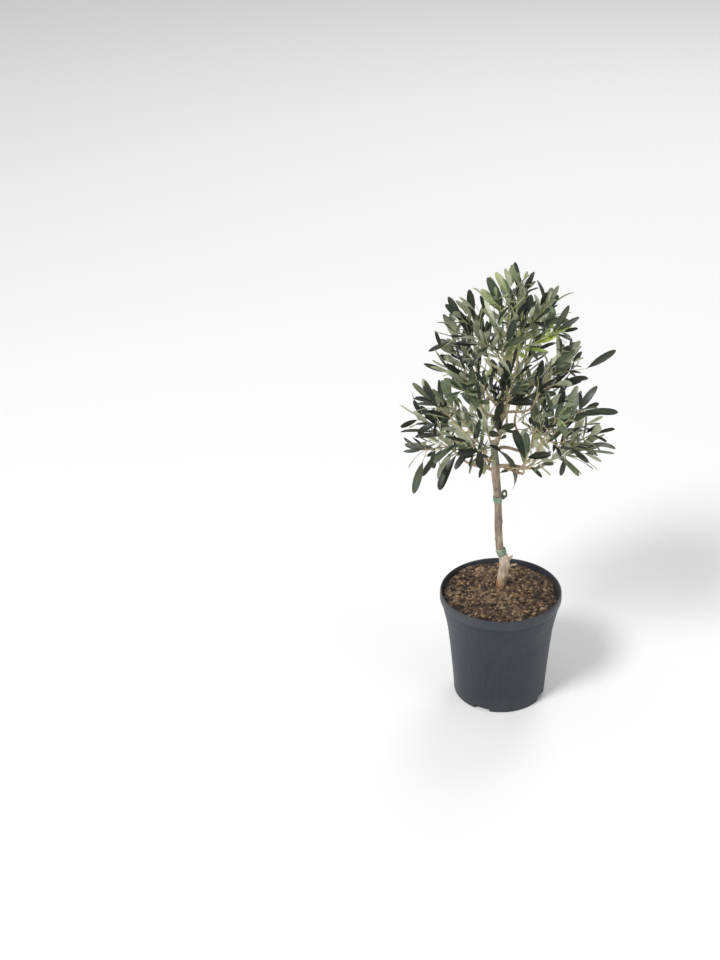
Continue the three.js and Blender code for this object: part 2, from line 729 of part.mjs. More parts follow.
const trunkSpace = stemSolid(TRUNK, GAP);
const leaderSpace = stemSolid(LEADER, GAP);
const trunk = wasm.Manifold.union([stemSolid(TRUNK, 0), ...TRUNK_STUBS.map(stubSolid)]);
add("trunk", trunk.trimByPlane([0, 0, 1], SOIL_LEVEL + GAP), BARK);
add("tie_lower", tieSolid(TIES.lower).subtract(trunkSpace), TIE_TAPE);
add("tie_upper", tieSolid(TIES.upper).add(knotSolid()).subtract(trunkSpace), TIE_TAPE);
add("leader", stemSolid(LEADER, 0).subtract(trunkSpace), BARK);
for (const bough of boughs) {
  const free = boughSolid(bough, 0).subtract(trunkSpace).subtract(leaderSpace);
  add(bough.name, bough.parent ? free.subtract(boughSolid(bough.parent, GAP)) : free, YOUNG_BARK);
}
for (const mass of masses) add(mass.name, massSolid(mass), LEAVES);

export default tree;
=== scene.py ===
# %% [markdown]
# # A young olive tree in a nursery pot
#
# You dress the imported model of a small potted olive tree. The frame comes first: it gives the
# solids in metres, with the pot's underside at the origin and +Z up.

# %% Load the frame
import math

import bpy
import numpy as np
from mathutils import Matrix


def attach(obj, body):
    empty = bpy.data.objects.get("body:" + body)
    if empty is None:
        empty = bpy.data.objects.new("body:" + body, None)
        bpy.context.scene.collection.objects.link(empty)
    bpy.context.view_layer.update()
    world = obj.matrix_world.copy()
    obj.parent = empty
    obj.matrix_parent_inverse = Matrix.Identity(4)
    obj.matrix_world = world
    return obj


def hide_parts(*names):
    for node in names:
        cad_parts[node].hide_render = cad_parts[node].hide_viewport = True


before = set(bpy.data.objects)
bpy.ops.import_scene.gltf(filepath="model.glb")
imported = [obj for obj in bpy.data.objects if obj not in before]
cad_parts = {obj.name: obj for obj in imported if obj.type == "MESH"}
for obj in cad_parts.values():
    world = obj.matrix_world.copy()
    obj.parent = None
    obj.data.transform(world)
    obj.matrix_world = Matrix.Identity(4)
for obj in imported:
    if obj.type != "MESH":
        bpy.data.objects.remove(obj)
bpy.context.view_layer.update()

scene = bpy.context.scene

# %% [markdown]
# ## The camera
#
# You put the camera where the photograph was taken: 2.2 m in front of the tree and 1.6 m up,
# looking down at it. It is turned a little to the left, so the tree stands right of the middle.

# %% Camera
CAMERA_PLACE = (0, -2.219, 1.604)
CAMERA_PAN = 5.578
CAMERA_DOWN = 28.834
CAMERA_ROLL = -1.656
FOCAL_PIXELS = 1669.4
IMAGE_HEIGHT = 960

camera_data = bpy.data.cameras.new("camera")
camera_data.sensor_width = 36
camera_data.lens = FOCAL_PIXELS / IMAGE_HEIGHT * camera_data.sensor_width
camera_data.dof.use_dof = False
camera = bpy.data.objects.new("camera", camera_data)
turns = [(CAMERA_PAN, "Z"), (90 - CAMERA_DOWN, "X"), (CAMERA_ROLL, "Z")]
pan, tilt, roll = [Matrix.Rotation(math.radians(angle), 4, axis) for angle, axis in turns]
camera.matrix_world = Matrix.Translation(CAMERA_PLACE) @ pan @ tilt @ roll
scene.collection.objects.link(camera)
scene.camera = camera
print("lens in mm:", round(camera_data.lens, 1))

# %% [markdown]
# ## Small tools for shapes
#
# You make each new mesh from whole arrays: points in millimetres, and rows of corner numbers
# for the faces. Noise comes from a fixed mix of whole numbers, so each run is the same.

# %% Mesh tools
MM = 0.001


def make_piece(name, points, faces, materials, slots=None, uv=None, smooth=True):
    """A mesh object at the origin. faces is a list of arrays, one row a face.

    slots holds a material's number, or one number a face, for each array. uv follows faces.
    """
    rows = [np.asarray(block, np.int32) for block in faces]
    corners = np.concatenate([block.ravel() for block in rows])
    sizes = np.concatenate([np.full(len(block), block.shape[1], np.int32) for block in rows])
    mesh = bpy.data.meshes.new(name)
    mesh.vertices.add(len(points))
    mesh.vertices.foreach_set("co", (np.asarray(points) * MM).astype(np.float32).ravel())
    mesh.loops.add(len(corners))
    mesh.loops.foreach_set("vertex_index", corners)
    mesh.polygons.add(len(sizes))
    starts = np.concatenate([[0], np.cumsum(sizes)[:-1]])
    mesh.polygons.foreach_set("loop_start", starts.astype(np.int32))
    mesh.polygons.foreach_set("use_smooth", np.full(len(sizes), smooth))
    for material in materials:
        mesh.materials.append(material)
    if slots is not None:
        spread = [np.broadcast_to(slot, len(block)) for slot, block in zip(slots, rows)]
        mesh.polygons.foreach_set("material_index", np.concatenate(spread).astype(np.int32))
    if uv is not None:
        flat = np.concatenate([block.reshape(-1, 2) for block in uv]).astype(np.float32)
        mesh.uv_layers.new(name="UVMap").uv.foreach_set("vector", flat.ravel())
    mesh.update(calc_edges=True)
    mesh.validate()
    piece = bpy.data.objects.new(name, mesh)
    scene.collection.objects.link(piece)
    return piece


def place(piece, slot, *nodes):
    """The piece rides on the plant's one body and stands for the nodes. The slot is not used."""
    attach(piece, "root")
    if nodes:
        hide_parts(*nodes)
    triangles = sum(len(face.vertices) - 2 for face in piece.data.polygons)
    print(piece.name, "triangles:", triangles)


def keep_values(piece, name, kind, domain, field, values):
    """Stores a value for each point or edge of the piece under a name, for its materials to read."""
    piece.data.attributes.new(name, kind, domain).data.foreach_set(field, values)


print("mesh tools are ready")

# %% [markdown]
# Noise gives every point of space a number from -1 to 1 that changes smoothly. Each cell of a
# lattice has a fixed number, and a point takes a mean of the eight corners round it.

# %% Noise


def lattice(cells, seed):
    """A fixed number from -1 to 1 for each whole-number cell."""
    x, y, z = np.moveaxis(cells, -1, 0)
    mixed = x * 73856093 ^ y * 19349663 ^ z * 83492791 ^ seed * 7919
    mixed = ((mixed & 0xFFFFFFFF) ^ ((mixed & 0xFFFFFFFF) >> 15)) * 2246822519 & 0xFFFFFFFF
    mixed = (mixed ^ (mixed >> 13)) * 3266489917 & 0xFFFFFFFF
    return (mixed ^ (mixed >> 16)) / 2**31 - 1


def noise(points, size, seed=0):
    """Smooth noise: the eight lattice numbers round each point, weighted by a smooth step."""
    scaled = np.asarray(points, float) / size
    cell = np.floor(scaled).astype(np.int64)
    part = scaled - cell
    part = part * part * (3 - 2 * part)
    total = np.zeros(scaled.shape[:-1])
    for corner in np.ndindex(2, 2, 2):
        weight = np.where(np.array(corner) == 1, part, 1 - part).prod(axis=-1)
        total += weight * lattice(cell + np.array(corner), seed)
    return total


print("noise at the origin and 1 mm away:", noise(np.array([[0.0, 0, 0], [1, 0, 0]]), 4).round(3))

# %% [markdown]
# ## Limbs and rings
#
# A limb is a bundle of rings along a path, closed at both ends. All limbs with as many rings
# are made at once. A closed band, such as a tie, is a section carried round a loop.

# %% Limbs and bands


def unit_rows(vectors):
    """The vectors scaled to length one."""
    return vectors / np.linalg.norm(vectors, axis=-1, keepdims=True)


def limb_frames(paths, square=None):
    """Two directions square to each path. The bend's own axis is the reference, or the one given."""
    tangents = unit_rows(np.gradient(paths, axis=1))
    if square is None:
        first, last = tangents[:, 0], tangents[:, -1]
        helper = np.where(np.abs(first[:, 2:]) < 0.9, [0.0, 0, 1], [1.0, 0, 0])
        square = np.cross(first, last) + 0.02 * unit_rows(np.cross(first, helper))
    side = unit_rows(np.cross(tangents, unit_rows(square)[:, None]))
    return side, np.cross(tangents, side)


def grid_faces(rows, columns, closed_rows=False):
    """Four corners a face over a grid whose columns close on themselves."""
    row = np.arange(rows if closed_rows else rows - 1)[:, None]
    column = np.arange(columns)[None, :]
    here, above = row * columns, (row + 1) % rows * columns
    beside = (column + 1) % columns
    return np.stack([here + column, here + beside, above + beside, above + column], -1).reshape(-1, 4)


def closed_faces(count, rings, sides):
    """The walls of closed round bodies that are bundles of rings, then their first and last caps."""
    start = np.arange(count)[:, None] * rings * sides
    walls = (grid_faces(rings, sides)[None] + start[..., None]).reshape(-1, 4)
    cap = np.arange(sides)[None] + start
    return [walls, cap[:, ::-1], cap + (rings - 1) * sides]


def full_turn(count):
    """Angles that share out a full turn evenly."""
    return np.arange(count) * 2 * math.pi / count


def limb_spokes(paths, sides, square=None):
    """The direction from each ring's middle to each of its points."""
    side, other = limb_frames(paths, square)
    angle = full_turn(sides)[:, None]
    return np.cos(angle) * side[:, :, None] + np.sin(angle) * other[:, :, None]


def limbs(paths, radii, sides, square=None):
    """Points and faces of closed round limbs, with a radius for each point of each ring."""
    points = paths[:, :, None] + radii[..., None] * limb_spokes(paths, sides, square)
    return points.reshape(-1, 3), closed_faces(len(paths), paths.shape[1], sides)


print("a limb of 3 rings and 6 sides has", len(grid_faces(3, 6)), "wall faces")

# %% [markdown]
# ## The growth rule
#
# The source's rule, written again: the same sizes and the same seeds give the same boughs,
# twigs and leaves. A number drawn for a leaf depends only on the whole numbers that name it.

# %% Sizes of the tree
TRUNK_LINE = np.array([
    (-1, 17, 173.7, 10.2), (1, 17, 192, 8.4), (3.4, 16.5, 207, 8.1), (5.6, 16, 221, 8.2),
    (2.6, 15.5, 238, 7), (-2.6, 15, 252, 6), (-5, 14.5, 285, 5.8), (-6.4, 13.5, 330, 5.8),
    (-9.6, 12.5, 372, 6.2), (-11.4, 12, 396, 6.2), (-14.2, 11.5, 441, 5.4),
])
LEADER_LINE = np.array([
    (-13.6, 11.5, 429, 4.2), (-8, 11, 448, 3.9), (-4, 10.5, 480, 3.4), (0, 10, 545, 2.8),
    (3, 9, 600, 2.2), (4, 9, 640, 1.7),
])
CROWN_FOOT = np.array([4.0, 8, 0])
TIER_COLUMNS = ("count", "turn", "low", "high", "root", "tip", "rise", "thick", "droop", "seed")
TIERS = {
    name: dict(zip(TIER_COLUMNS, row))
    for name, *row in (
        ("low", 6, 0, 386, 430, (59, 416), (122, 479), 0.7, 2.9, 0.32, 911),
        ("middle", 5, 64, 466, 496, (43, 517), (85, 594), 0.9, 2.2, -0.3, 570),
        ("upper", 4, 82, 540, 560, (25, 580), (50, 657), 0.9, 2.0, -0.4, 634),
        ("top", 2, 44, 596, 606, (10, 625), (24, 680), 0.9, 1.6, -0.45, 665),
    )
}
FORK = dict(at=0.6, swing=28, root=(56, 449), tip=(111, 533), thick=1.9, droop=-0.05, seed=257)
INNER = dict(count=4, turn=259, low=453, high=576, reach=(46, 40), droop=-0.2, seed=108)
CREST = dict(reach=(1, -1, 49), droop=-0.3, seed=930)
AIMED_LEAVES = [  # tip and bend
    ((166, -5, 440), 1.3), ((-95, -15, 370), 0.4), ((82, -40, 393), 0.2),
    ((54, -45, 410), 0.2), ((6, 2, 727), 0.2),
]
GAP = 0.3
BOUGH_TIP_RADIUS = 1.7
BOUGH_STEPS = 11
BOUGH_PULL = 0.4
GOLDEN_SHARE, GOLDEN_TURN = 0.618, 137.5
LEAF_LENGTH = 54
LEAF_HALF_WIDTH = (0.115, 0.155)
LEAF_TRIES = [(0, 1, 1), (0.35, 1, 0.93), (-0.35, 1, 0.86), (0, 0.55, 0.79)]  # turn, opening, size
AIMED_LENGTH, AIMED_MISS, AIMED_HALF_WIDTH = 51.3, 11, 0.13
NODE_SPACING, NODE_SETBACK = 14.5, 0.2
SIDE_TWIG = dict(length=(36, 56), shortest=20, chance=0.6, nodes=4)
# Margins in mm to other masses' space, to limbs, and to the leaves and twigs of the mass itself.
LEAF_MARGINS = (1.2, 1, 3)
AIMED_MARGINS = (1.2, 1, 1.6)
TWIG_MARGINS = (4, 2, 4)
UP = np.array([0.0, 0, 1])
print("boughs from the trunk and leader:", sum(tier["count"] for tier in TIERS.values()))

# %% [markdown]
# These helpers draw the numbers and give points along curves.

# %% Helpers of the rule


def chance(*keys):
    """A fraction from 0 to 1 that depends only on the whole numbers it is given."""
    mixed = 2166136261
    for key in keys:
        mixed = ((mixed ^ key) * 16777619) & 0xFFFFFFFF
        mixed ^= mixed >> 15
    mixed = (mixed * 2246822519) & 0xFFFFFFFF
    return (mixed ^ mixed >> 13) / 2**32


def between(low, high, *keys):
    """A number from low to high, drawn for the keys."""
    return low + (high - low) * chance(*keys)


def drawer(*names):
    """A function that draws a number from low to high for these names and its own keys."""
    def draw(low, high, *keys):
        return between(low, high, *names, *keys)
    return draw


def unit(vector):
    """The vector scaled to length one."""
    return vector / math.sqrt(vector @ vector)


def heading(angle):
    """The level direction at an angle from +X."""
    return np.array([math.cos(angle), math.sin(angle), 0])


def cross(a, b):
    """The cross product, written out because it is quicker for one pair."""
    return np.array([a[1] * b[2] - a[2] * b[1], a[2] * b[0] - a[0] * b[2], a[0] * b[1] - a[1] * b[0]])


def across(tangent):
    """Two directions square to the tangent and to each other."""
    side = unit(cross(tangent, UP if abs(tangent[2]) < 0.9 else np.array([1.0, 0, 0])))
    return side, cross(side, tangent)


def catmull(line, parts):
    """Points of the smooth curve through a line's points, at fractions of its steps."""
    ends = np.vstack([2 * line[0] - line[1], line, 2 * line[-1] - line[-2]])
    steps = np.asarray(parts) * (len(line) - 1)
    index = np.minimum(steps.astype(int), len(line) - 2)
    part = (steps - index)[:, None]
    a, b, c, d = (ends[index + k] for k in range(4))
    square, cube = 2 * a - 5 * b + 4 * c - d, 3 * b - a - 3 * c + d
    return 0.5 * (2 * b + (c - a) * part + square * part**2 + cube * part**3)


def bezier(controls, parts):
    """Points of the curve that its control points pull."""
    parts = np.atleast_1d(np.asarray(parts, float))[:, None]
    last = len(controls) - 1
    return sum(math.comb(last, k) * (1 - parts) ** (last - k) * parts**k * c for k, c in enumerate(controls))


def bezier_tangent(controls, part):
    """The direction of that curve at one part of it."""
    steps = [b - a for a, b in zip(controls[:-1], controls[1:])]
    return unit(bezier(steps, part)[0])


def at_height(line, height):
    """The point and radius of a line at a height, as four numbers."""
    return np.array([np.interp(height, line[:, 2], line[:, k]) for k in range(4)])


print("the same keys give the same number:", chance(911, 3) == chance(911, 3))

# %% [markdown]
# Now you lay out the boughs and the masses of foliage, tier by tier. Each bough hands over to
# a mass at its root, and the mass has a stem from there to its tip.

# %% Boughs and masses
limb_lines = {}
masses = []


def add_limb(name, points, radii):
    """Keeps a limb as short straight pieces."""
    limb_lines[name] = (points, radii)


def add_mass(name, tier, root, tip):
    """A mass of foliage round a stem that bows a little between its root and its tip."""
    key = len(masses)
    draw = drawer(tier["seed"], key)
    side, rise = across(unit(tip - root))
    bow = draw(-6, 6, 1) * side + draw(-3, 5, 2) * rise
    mass = dict(name=name, key=key, tier=tier, root=root, tip=tip, knee=(root + tip) / 2 + bow)
    mass.update(leaves=[], twigs=[], nodes=[], cloud=np.zeros((0, 3)))
    masses.append(mass)
    return mass


def crown_point(polar, angle, scale, lift):
    """A point of the crown from its distance to the axis and its height."""
    return CROWN_FOOT + polar[0] * scale * heading(angle) + (polar[1] + lift) * UP


def add_bough(name, start, leaving, root, arriving, thick):
    """A tapering bough from its start to the root of its foliage."""
    pull = BOUGH_PULL * math.dist(start, root)
    controls = [start, start + pull * leaving, root - pull * arriving, root]
    radii = np.linspace(thick, BOUGH_TIP_RADIUS, BOUGH_STEPS)
    add_limb(name, bezier(controls, np.linspace(0, 1, BOUGH_STEPS)), radii)
    return controls


def grow_fork(controls, angle, order, i):
    """The fork of a low bough, with a mass above the bough's own."""
    draw = drawer(FORK["seed"], order, i)
    swung = angle + math.radians(FORK["swing"]) * (1 if i % 2 else -1) * draw(0.7, 1.3, 6)
    root = crown_point(FORK["root"], swung, draw(0.9, 1.1, 7), draw(-10, 12, 8))
    tip = crown_point(FORK["tip"], swung, draw(0.88, 1.1, 9), draw(-14, 14, 10))
    mass = add_mass(f"fork_foliage_{i + 1}", FORK, root, tip)
    leaving = unit(bezier_tangent(controls, FORK["at"]) + 0.9 * UP)
    start = bezier(controls, FORK["at"])[0]
    add_bough(f"fork_bough_{i + 1}", start, leaving, root, unit(mass["knee"] - root), FORK["thick"])


def grow_tier(kind, tier, order):
    """One tier of boughs round the trunk or the leader."""
    source = TRUNK_LINE if kind == "low" else LEADER_LINE
    for i in range(tier["count"]):
        draw = drawer(tier["seed"], order, i)
        angle = math.radians(tier["turn"] + 360 * i / tier["count"] + draw(-14, 14, 1))
        scale, lift = draw(0.9, 1.1, 2), draw(-10, 12, 3)
        root = crown_point(tier["root"], angle, scale, lift)
        tip = crown_point(tier["tip"], angle + draw(-0.25, 0.25, 5), scale, 1.5 * lift)
        mass = add_mass(f"{kind}_foliage_{i + 1}", tier, root, tip)
        share = (i * GOLDEN_SHARE + 0.2) % 1
        here = at_height(source, tier["low"] + (tier["high"] - tier["low"]) * share)
        leaving = unit(heading(angle) + tier["rise"] * UP)
        thick = min(tier["thick"], 0.75 * here[3])
        arriving = unit(mass["knee"] - root)
        controls = add_bough(f"{kind}_bough_{i + 1}", here[:3], leaving, root, arriving, thick)
        if kind == "low":
            grow_fork(controls, angle, order, i)


for name, line, pieces in (("trunk", TRUNK_LINE, 40), ("leader", LEADER_LINE, 20)):
    parts = np.linspace(0, 1, pieces + 1)
    radii = np.interp(parts * (len(line) - 1), range(len(line)), line[:, 3])
    add_limb(name, catmull(line[:, :3], parts), radii)
for order, (kind, tier) in enumerate(TIERS.items()):
    grow_tier(kind, tier, order)
for i in range(INNER["count"]):
    out = heading(math.radians(INNER["turn"] + GOLDEN_TURN * i))
    level = INNER["low"] + (INNER["high"] - INNER["low"]) * i / (INNER["count"] - 1)
    root = at_height(LEADER_LINE, level)[:3]
    reach = INNER["reach"][0] * out + INNER["reach"][1] * UP
    add_mass(f"inner_foliage_{i + 1}", INNER, root, root + reach)
leader_top = LEADER_LINE[-1, :3]
crest = add_mass("crest_foliage", CREST, leader_top, leader_top + np.array(CREST["reach"]))
leader_end = catmull(LEADER_LINE[:, :3], np.array([0.9999, 1]))
half = 0.5 * math.dist(crest["tip"], crest["root"])
crest["knee"] = crest["root"] + half * unit(leader_end[1] - leader_end[0])
print("limbs:", len(limb_lines), "masses:", len(masses))

# %% [markdown]
# A leaf grows only where it is free. It keeps to its own mass, which owns the space nearer to
# its stem than to any other stem, and it stays clear of limbs and of the leaves before it.

# %% Free space
stem_start = np.array([mass["root"] for mass in masses])
stem_way = np.array([mass["tip"] for mass in masses]) - stem_start
stem_square = (stem_way**2).sum(1)
limb_rows = [np.column_stack([points, radii]) for points, radii in limb_lines.values()]
piece_start = np.vstack([rows[:-1] for rows in limb_rows])
piece_way = np.vstack([rows[1:] for rows in limb_rows]) - piece_start
piece_square = (piece_way[:, :3] ** 2).sum(1)


def in_own_space(mass, points, margin):
    """Whether the points lie nearer to the mass's own stem than to any other, by a margin."""
    away = points[:, None] - stem_start
    part = np.clip((away * stem_way).sum(2) / stem_square, 0, 1)
    distance = np.linalg.norm(away - part[..., None] * stem_way, axis=2)
    own = distance[:, mass["key"]].copy()
    distance[:, mass["key"]] = 1e9
    return bool((own + margin <= distance.min(1)).all())


def clear_of_limbs(points, margin):
    """Whether the points lie outside every limb by a margin."""
    away = points[:, None] - piece_start[None, :, :3]
    part = np.clip((away * piece_way[:, :3]).sum(2) / piece_square, 0, 1)
    distance = np.linalg.norm(away - part[..., None] * piece_way[:, :3], axis=2)
    return bool((distance - piece_start[:, 3] - piece_way[:, 3] * part).min() >= margin)


def clear_of_cloud(mass, points, margin):
    """Whether the points keep a margin to the leaves and twigs that the mass has already."""
    if not len(mass["cloud"]):
        return True
    away = points[:, None] - mass["cloud"]
    return bool((away * away).sum(2).min() >= margin * margin)


def midrib(leaf, parts):
    """The leaf's middle line: an arc that starts along its direction and bends from its upper side."""
    turn = leaf["bend"] * np.asarray(parts, float)[:, None]
    arc = np.sin(turn) * leaf["direction"] - (1 - np.cos(turn)) * leaf["upper"]
    return leaf["base"] + leaf["length"] / leaf["bend"] * arc


def leaf_points(leaf):
    """The points of a leaf that have to be free."""
    middles = midrib(leaf, [0.2, 0.35, 0.5, 0.65, 0.8, 1])
    edge = leaf["half_width"] * leaf["side"]
    return np.vstack([middles, middles[1:5] + edge, middles[1:5] - edge])


def is_free(mass, points, margins, skip=0):
    """Whether the points keep the three margins. Limbs and leaves may touch the first skip points."""
    rest = points[skip:]
    return (
        in_own_space(mass, points, margins[0])
        and clear_of_limbs(rest, margins[1])
        and clear_of_cloud(mass, rest, margins[2])
    )


def keep_points(mass, points):
    """Adds points to the cloud that later leaves and twigs stay clear of."""
    mass["cloud"] = np.vstack([mass["cloud"], points])


print("pieces of limb to stay clear of:", len(piece_start))

# %% [markdown]
# Twigs carry opposite pairs of leaves, each pair turned a quarter from the last. On a stem,
# the lower pairs may grow out as side twigs. A leaf that isn't free is tried in three other
# ways: turned to one side, to the other, or less open, and smaller each time.

# %% Leaves and twigs


def leaf_facing(tangent, direction, roll):
    """The way a leaf's upper side faces: toward the twig's tip and the sky, rolled by an angle."""
    skyward = UP - (UP @ direction) * direction
    inward = unit(tangent - (tangent @ direction) * direction + 1e-6 * skyward)
    level = unit(inward + 0.6 * skyward)
    rolled = unit(math.cos(roll) * level + math.sin(roll) * cross(direction, level))
    return unit(rolled - (rolled @ direction) * direction)


def grow_leaf(mass, base, tangent, radial, spread, length, keys, droop, margins=LEAF_MARGINS):
    """Tries a leaf in four ways, each smaller than the last, and keeps the first that is free."""
    draw = drawer(mass["tier"]["seed"], *keys)
    for turn, opening, share in LEAF_TRIES:
        out = unit(math.cos(turn) * radial + math.sin(turn) * cross(tangent, radial))
        angle = spread * opening
        sag = droop * draw(0.3, 1.3, 11) * UP
        direction = unit(math.cos(angle) * tangent + math.sin(angle) * out - sag)
        upper = leaf_facing(tangent, direction, draw(-0.6, 0.6, 12))
        leaf = dict(base=base, direction=direction, upper=upper, side=cross(direction, upper))
        leaf.update(length=length * share, half_width=length * share * draw(*LEAF_HALF_WIDTH, 13))
        leaf.update(bend=draw(0.02, 0.8, 14) * (1 if draw(0, 1, 15) > 0.2 else -0.4))
        leaf.update(keys=keys, mass=mass, spray=len(mass["twigs"]))
        points = leaf_points(leaf)
        if is_free(mass, points, margins):
            keep_points(mass, points)
            mass["leaves"].append(leaf)
            return True
    return False


def grow_twig(mass, controls, is_stem, keys, droop):
    """A twig with its pairs of leaves and, on a stem, its side twigs."""
    draw = drawer(mass["tier"]["seed"], *keys)
    length = np.linalg.norm(np.diff(bezier(controls, np.linspace(0, 1, 201)), axis=0), axis=1).sum()
    spacing = NODE_SPACING * draw(0.88, 1.12, 1) * (1 if is_stem else 0.92)
    nodes = max(2, math.floor(length / spacing + 0.5))
    first_turn = draw(0, math.pi, 2)
    mass["twigs"].append((controls, is_stem))
    for node in range(1, nodes + 1):
        part = (node - NODE_SETBACK) / nodes
        here, tangent = bezier(controls, part)[0], bezier_tangent(controls, part)
        side, rise = across(tangent)
        is_last = node == nodes
        may_branch = is_stem and not is_last and node <= SIDE_TWIG["nodes"]
        for pair in range(2):
            key = 100 + 2 * node + pair
            turn = first_turn + node * math.pi / 2 + pair * math.pi + draw(-0.25, 0.25, key, 3)
            radial = math.cos(turn) * side + math.sin(turn) * rise
            names = (*keys, key)
            mass["nodes"].append((here, tangent, radial, names))
            scale = 1 - 0.5 * (node - 1) / nodes
            branches = may_branch and draw(0, 1, key, 5) < SIDE_TWIG["chance"]
            if branches and grow_side_twig(mass, here, tangent, radial, names, scale, droop):
                continue
            opening = draw(15, 32, key, 6) if is_last else draw(40, 66, key, 6) * (1 - 0.3 * part)
            size = LEAF_LENGTH * draw(0.84, 1.12, key, 7) * (0.8 if is_last else 1 - 0.15 * part)
            sag = droop * (1 - 0.5 * part)
            grow_leaf(mass, here, tangent, radial, math.radians(opening), size, names, sag)


def grow_side_twig(mass, start, tangent, radial, keys, scale, droop):
    """A straight side twig, tried at two lengths."""
    draw = drawer(mass["tier"]["seed"], *keys)
    for attempt in range(2):
        length = draw(*SIDE_TWIG["length"], 31) * scale * (1 - 0.25 * attempt)
        if length < SIDE_TWIG["shortest"]:
            return False
        opening = math.radians(draw(38, 56, 32))
        direction = math.cos(opening) * tangent + math.sin(opening) * radial
        controls = [start, start + length * direction + length * (0.15 - 0.3 * droop) * UP]
        points = bezier(controls, [0.3, 0.6, 1])
        if is_free(mass, points, TWIG_MARGINS):
            keep_points(mass, points)
            grow_twig(mass, controls, False, keys, droop)
            return True
    return False


def laid_leaf(base, tip, bend, facing, slimness, **marks):
    """A leaf from base to tip, an arc over that chord, with its upper side turned as facing says."""
    chord = unit(tip - base)
    facing = unit(facing - (facing @ chord) * chord)
    direction = math.cos(bend / 2) * chord + math.sin(bend / 2) * facing
    upper = math.cos(bend / 2) * facing - math.sin(bend / 2) * chord
    length = math.dist(base, tip) * bend / 2 / math.sin(bend / 2)
    leaf = dict(base=base, direction=direction, upper=upper, side=cross(direction, upper), **marks)
    leaf.update(length=length, half_width=length * slimness, bend=bend)
    return leaf


def aim_leaf(tip, bend):
    """Lays a leaf to the given tip from the twig's node that suits the length best and is free."""
    starts = [
        (abs(math.dist(node[0], tip) - AIMED_LENGTH), k, n)
        for k, mass in enumerate(masses)
        for n, node in enumerate(mass["nodes"])
    ]
    for miss, k, n in sorted(starts):
        if miss > AIMED_MISS:
            return
        mass, base = masses[k], masses[k]["nodes"][n][0]
        leaf = laid_leaf(base, tip, bend, UP, AIMED_HALF_WIDTH, keys=(k, n), mass=mass, spray=0)
        points = leaf_points(leaf)
        if is_free(mass, points, AIMED_MARGINS, skip=2):
            keep_points(mass, points)
            mass["leaves"].append(leaf)
            return


for mass in masses:
    start = mass["root"] + GAP * unit(mass["knee"] - mass["root"])
    grow_twig(mass, [start, mass["knee"], mass["tip"]], True, (mass["key"],), mass["tier"]["droop"])
for tip, bend in AIMED_LEAVES:
    aim_leaf(np.array(tip, float), bend)
print("leaves as in the solids:", sum(len(mass["leaves"]) for mass in masses))

# %% [markdown]
# ## Finer twigs
#
# The solids stop at the side twigs. You carry the rule one step further: in the axil of a
# leaf a short shoot may grow, with a few small leaves, inside the same mass's own space.

# %% Short shoots
SHOOT_CHANCE = 0.42
SHOOT_LENGTH = (9, 22)
SHOOT_LEAF = (19, 34)
SHOOT_MARGINS = (2, 1, 1.6)
SHOOT_LEAF_MARGINS = (1.2, 1, 2.4)
SHOOT_NODES = [(0.5, (38, 58), 1), (0.97, (14, 30), 0.85)]  # place on the shoot, opening, size


def grow_shoot(mass, here, tangent, radial, keys):
    """A short leafy shoot between a twig and one of its leaves."""
    draw = drawer(mass["tier"]["seed"], *keys)
    length = draw(*SHOOT_LENGTH, 51)
    opening = math.radians(draw(26, 48, 52))
    direction = unit(math.cos(opening) * tangent + math.sin(opening) * radial + 0.15 * UP)
    end = here + length * direction
    points = np.array([here + 0.6 * length * direction, end])
    if not is_free(mass, points, SHOOT_MARGINS):
        return
    keep_points(mass, points)
    mass["twigs"].append(([here, end], None))
    side, rise = across(direction)
    first_turn = draw(0, math.pi, 53)
    droop = 0.4 * mass["tier"]["droop"]
    for node, (where, spread, scale) in enumerate(SHOOT_NODES):
        base = here + where * length * direction
        for pair in range(2):
            key = 60 + 2 * node + pair
            turn = first_turn + node * math.pi / 2 + pair * math.pi
            out = math.cos(turn) * side + math.sin(turn) * rise
            angle = math.radians(draw(*spread, key))
            size = draw(*SHOOT_LEAF, key + 10) * scale
            grow_leaf(mass, base, direction, out, angle, size, (*keys, key), droop, SHOOT_LEAF_MARGINS)


for mass in masses:
    for here, tangent, radial, keys in mass["nodes"]:
        if chance(mass["tier"]["seed"], *keys, 50) < SHOOT_CHANCE:
            grow_shoot(mass, here, tangent, radial, keys)

print("leaves with the short shoots:", sum(len(mass["leaves"]) for mass in masses))

# %% [markdown]
# A few single leaves stand out against the sky in the photograph. You lay each one in its place,
# on a thin shoot from the nearest node or from the stem. Where leaves hang lower than the
# crown's edge seems to the camera, they are kept small, so that the stem's first boughs show. The
# few that would fill the gap beside the stem, where a leaf arches down, are left out.

# %% Leaves at the crown's edge
# Base and tip in mm and the tint from 0, deep, to 3, soft. The last two are on the stem and also
# give how far they bend, and the first of these gives the way its upper side faces.
EDGE_LEAVES = [
    ((118, -2, 569), (159, -2, 599), 1), ((-120, 4, 411), (-135, 4, 352), 2),
    ((-82, 17, 601), (-112, 17, 585), 1), ((-94, 17, 591), (-102, 17, 618), 1),
    ((-81, -37, 577), (-116, -37, 590), 1), ((-101, -16, 518), (-116, -16, 553), 2),
    ((-105, -16, 520), (-134, -16, 549), 3), ((72, -22, 637), (104, -22, 659), 1),
    ((113, -54, 527), (163, -54, 525), 1), ((-129, 32, 465), (-154, 4, 466), 1),
    ((-122, 4, 428), (-150, 4, 425), 1),
    ((-12, 10, 428), (15, -12, 373), 2, 2.0, (0.8, -0.5, 0.35)), ((-5, 10, 388), (14, 0, 402), 1, 0.5),
]
EDGE_KEY = 900
EDGE_BEND = 0.3
EDGE_HALF_WIDTH = 0.11
TOWARD_VIEWER = (0, -0.88, 0.47)
SIGHT_SLOPE = 0.55
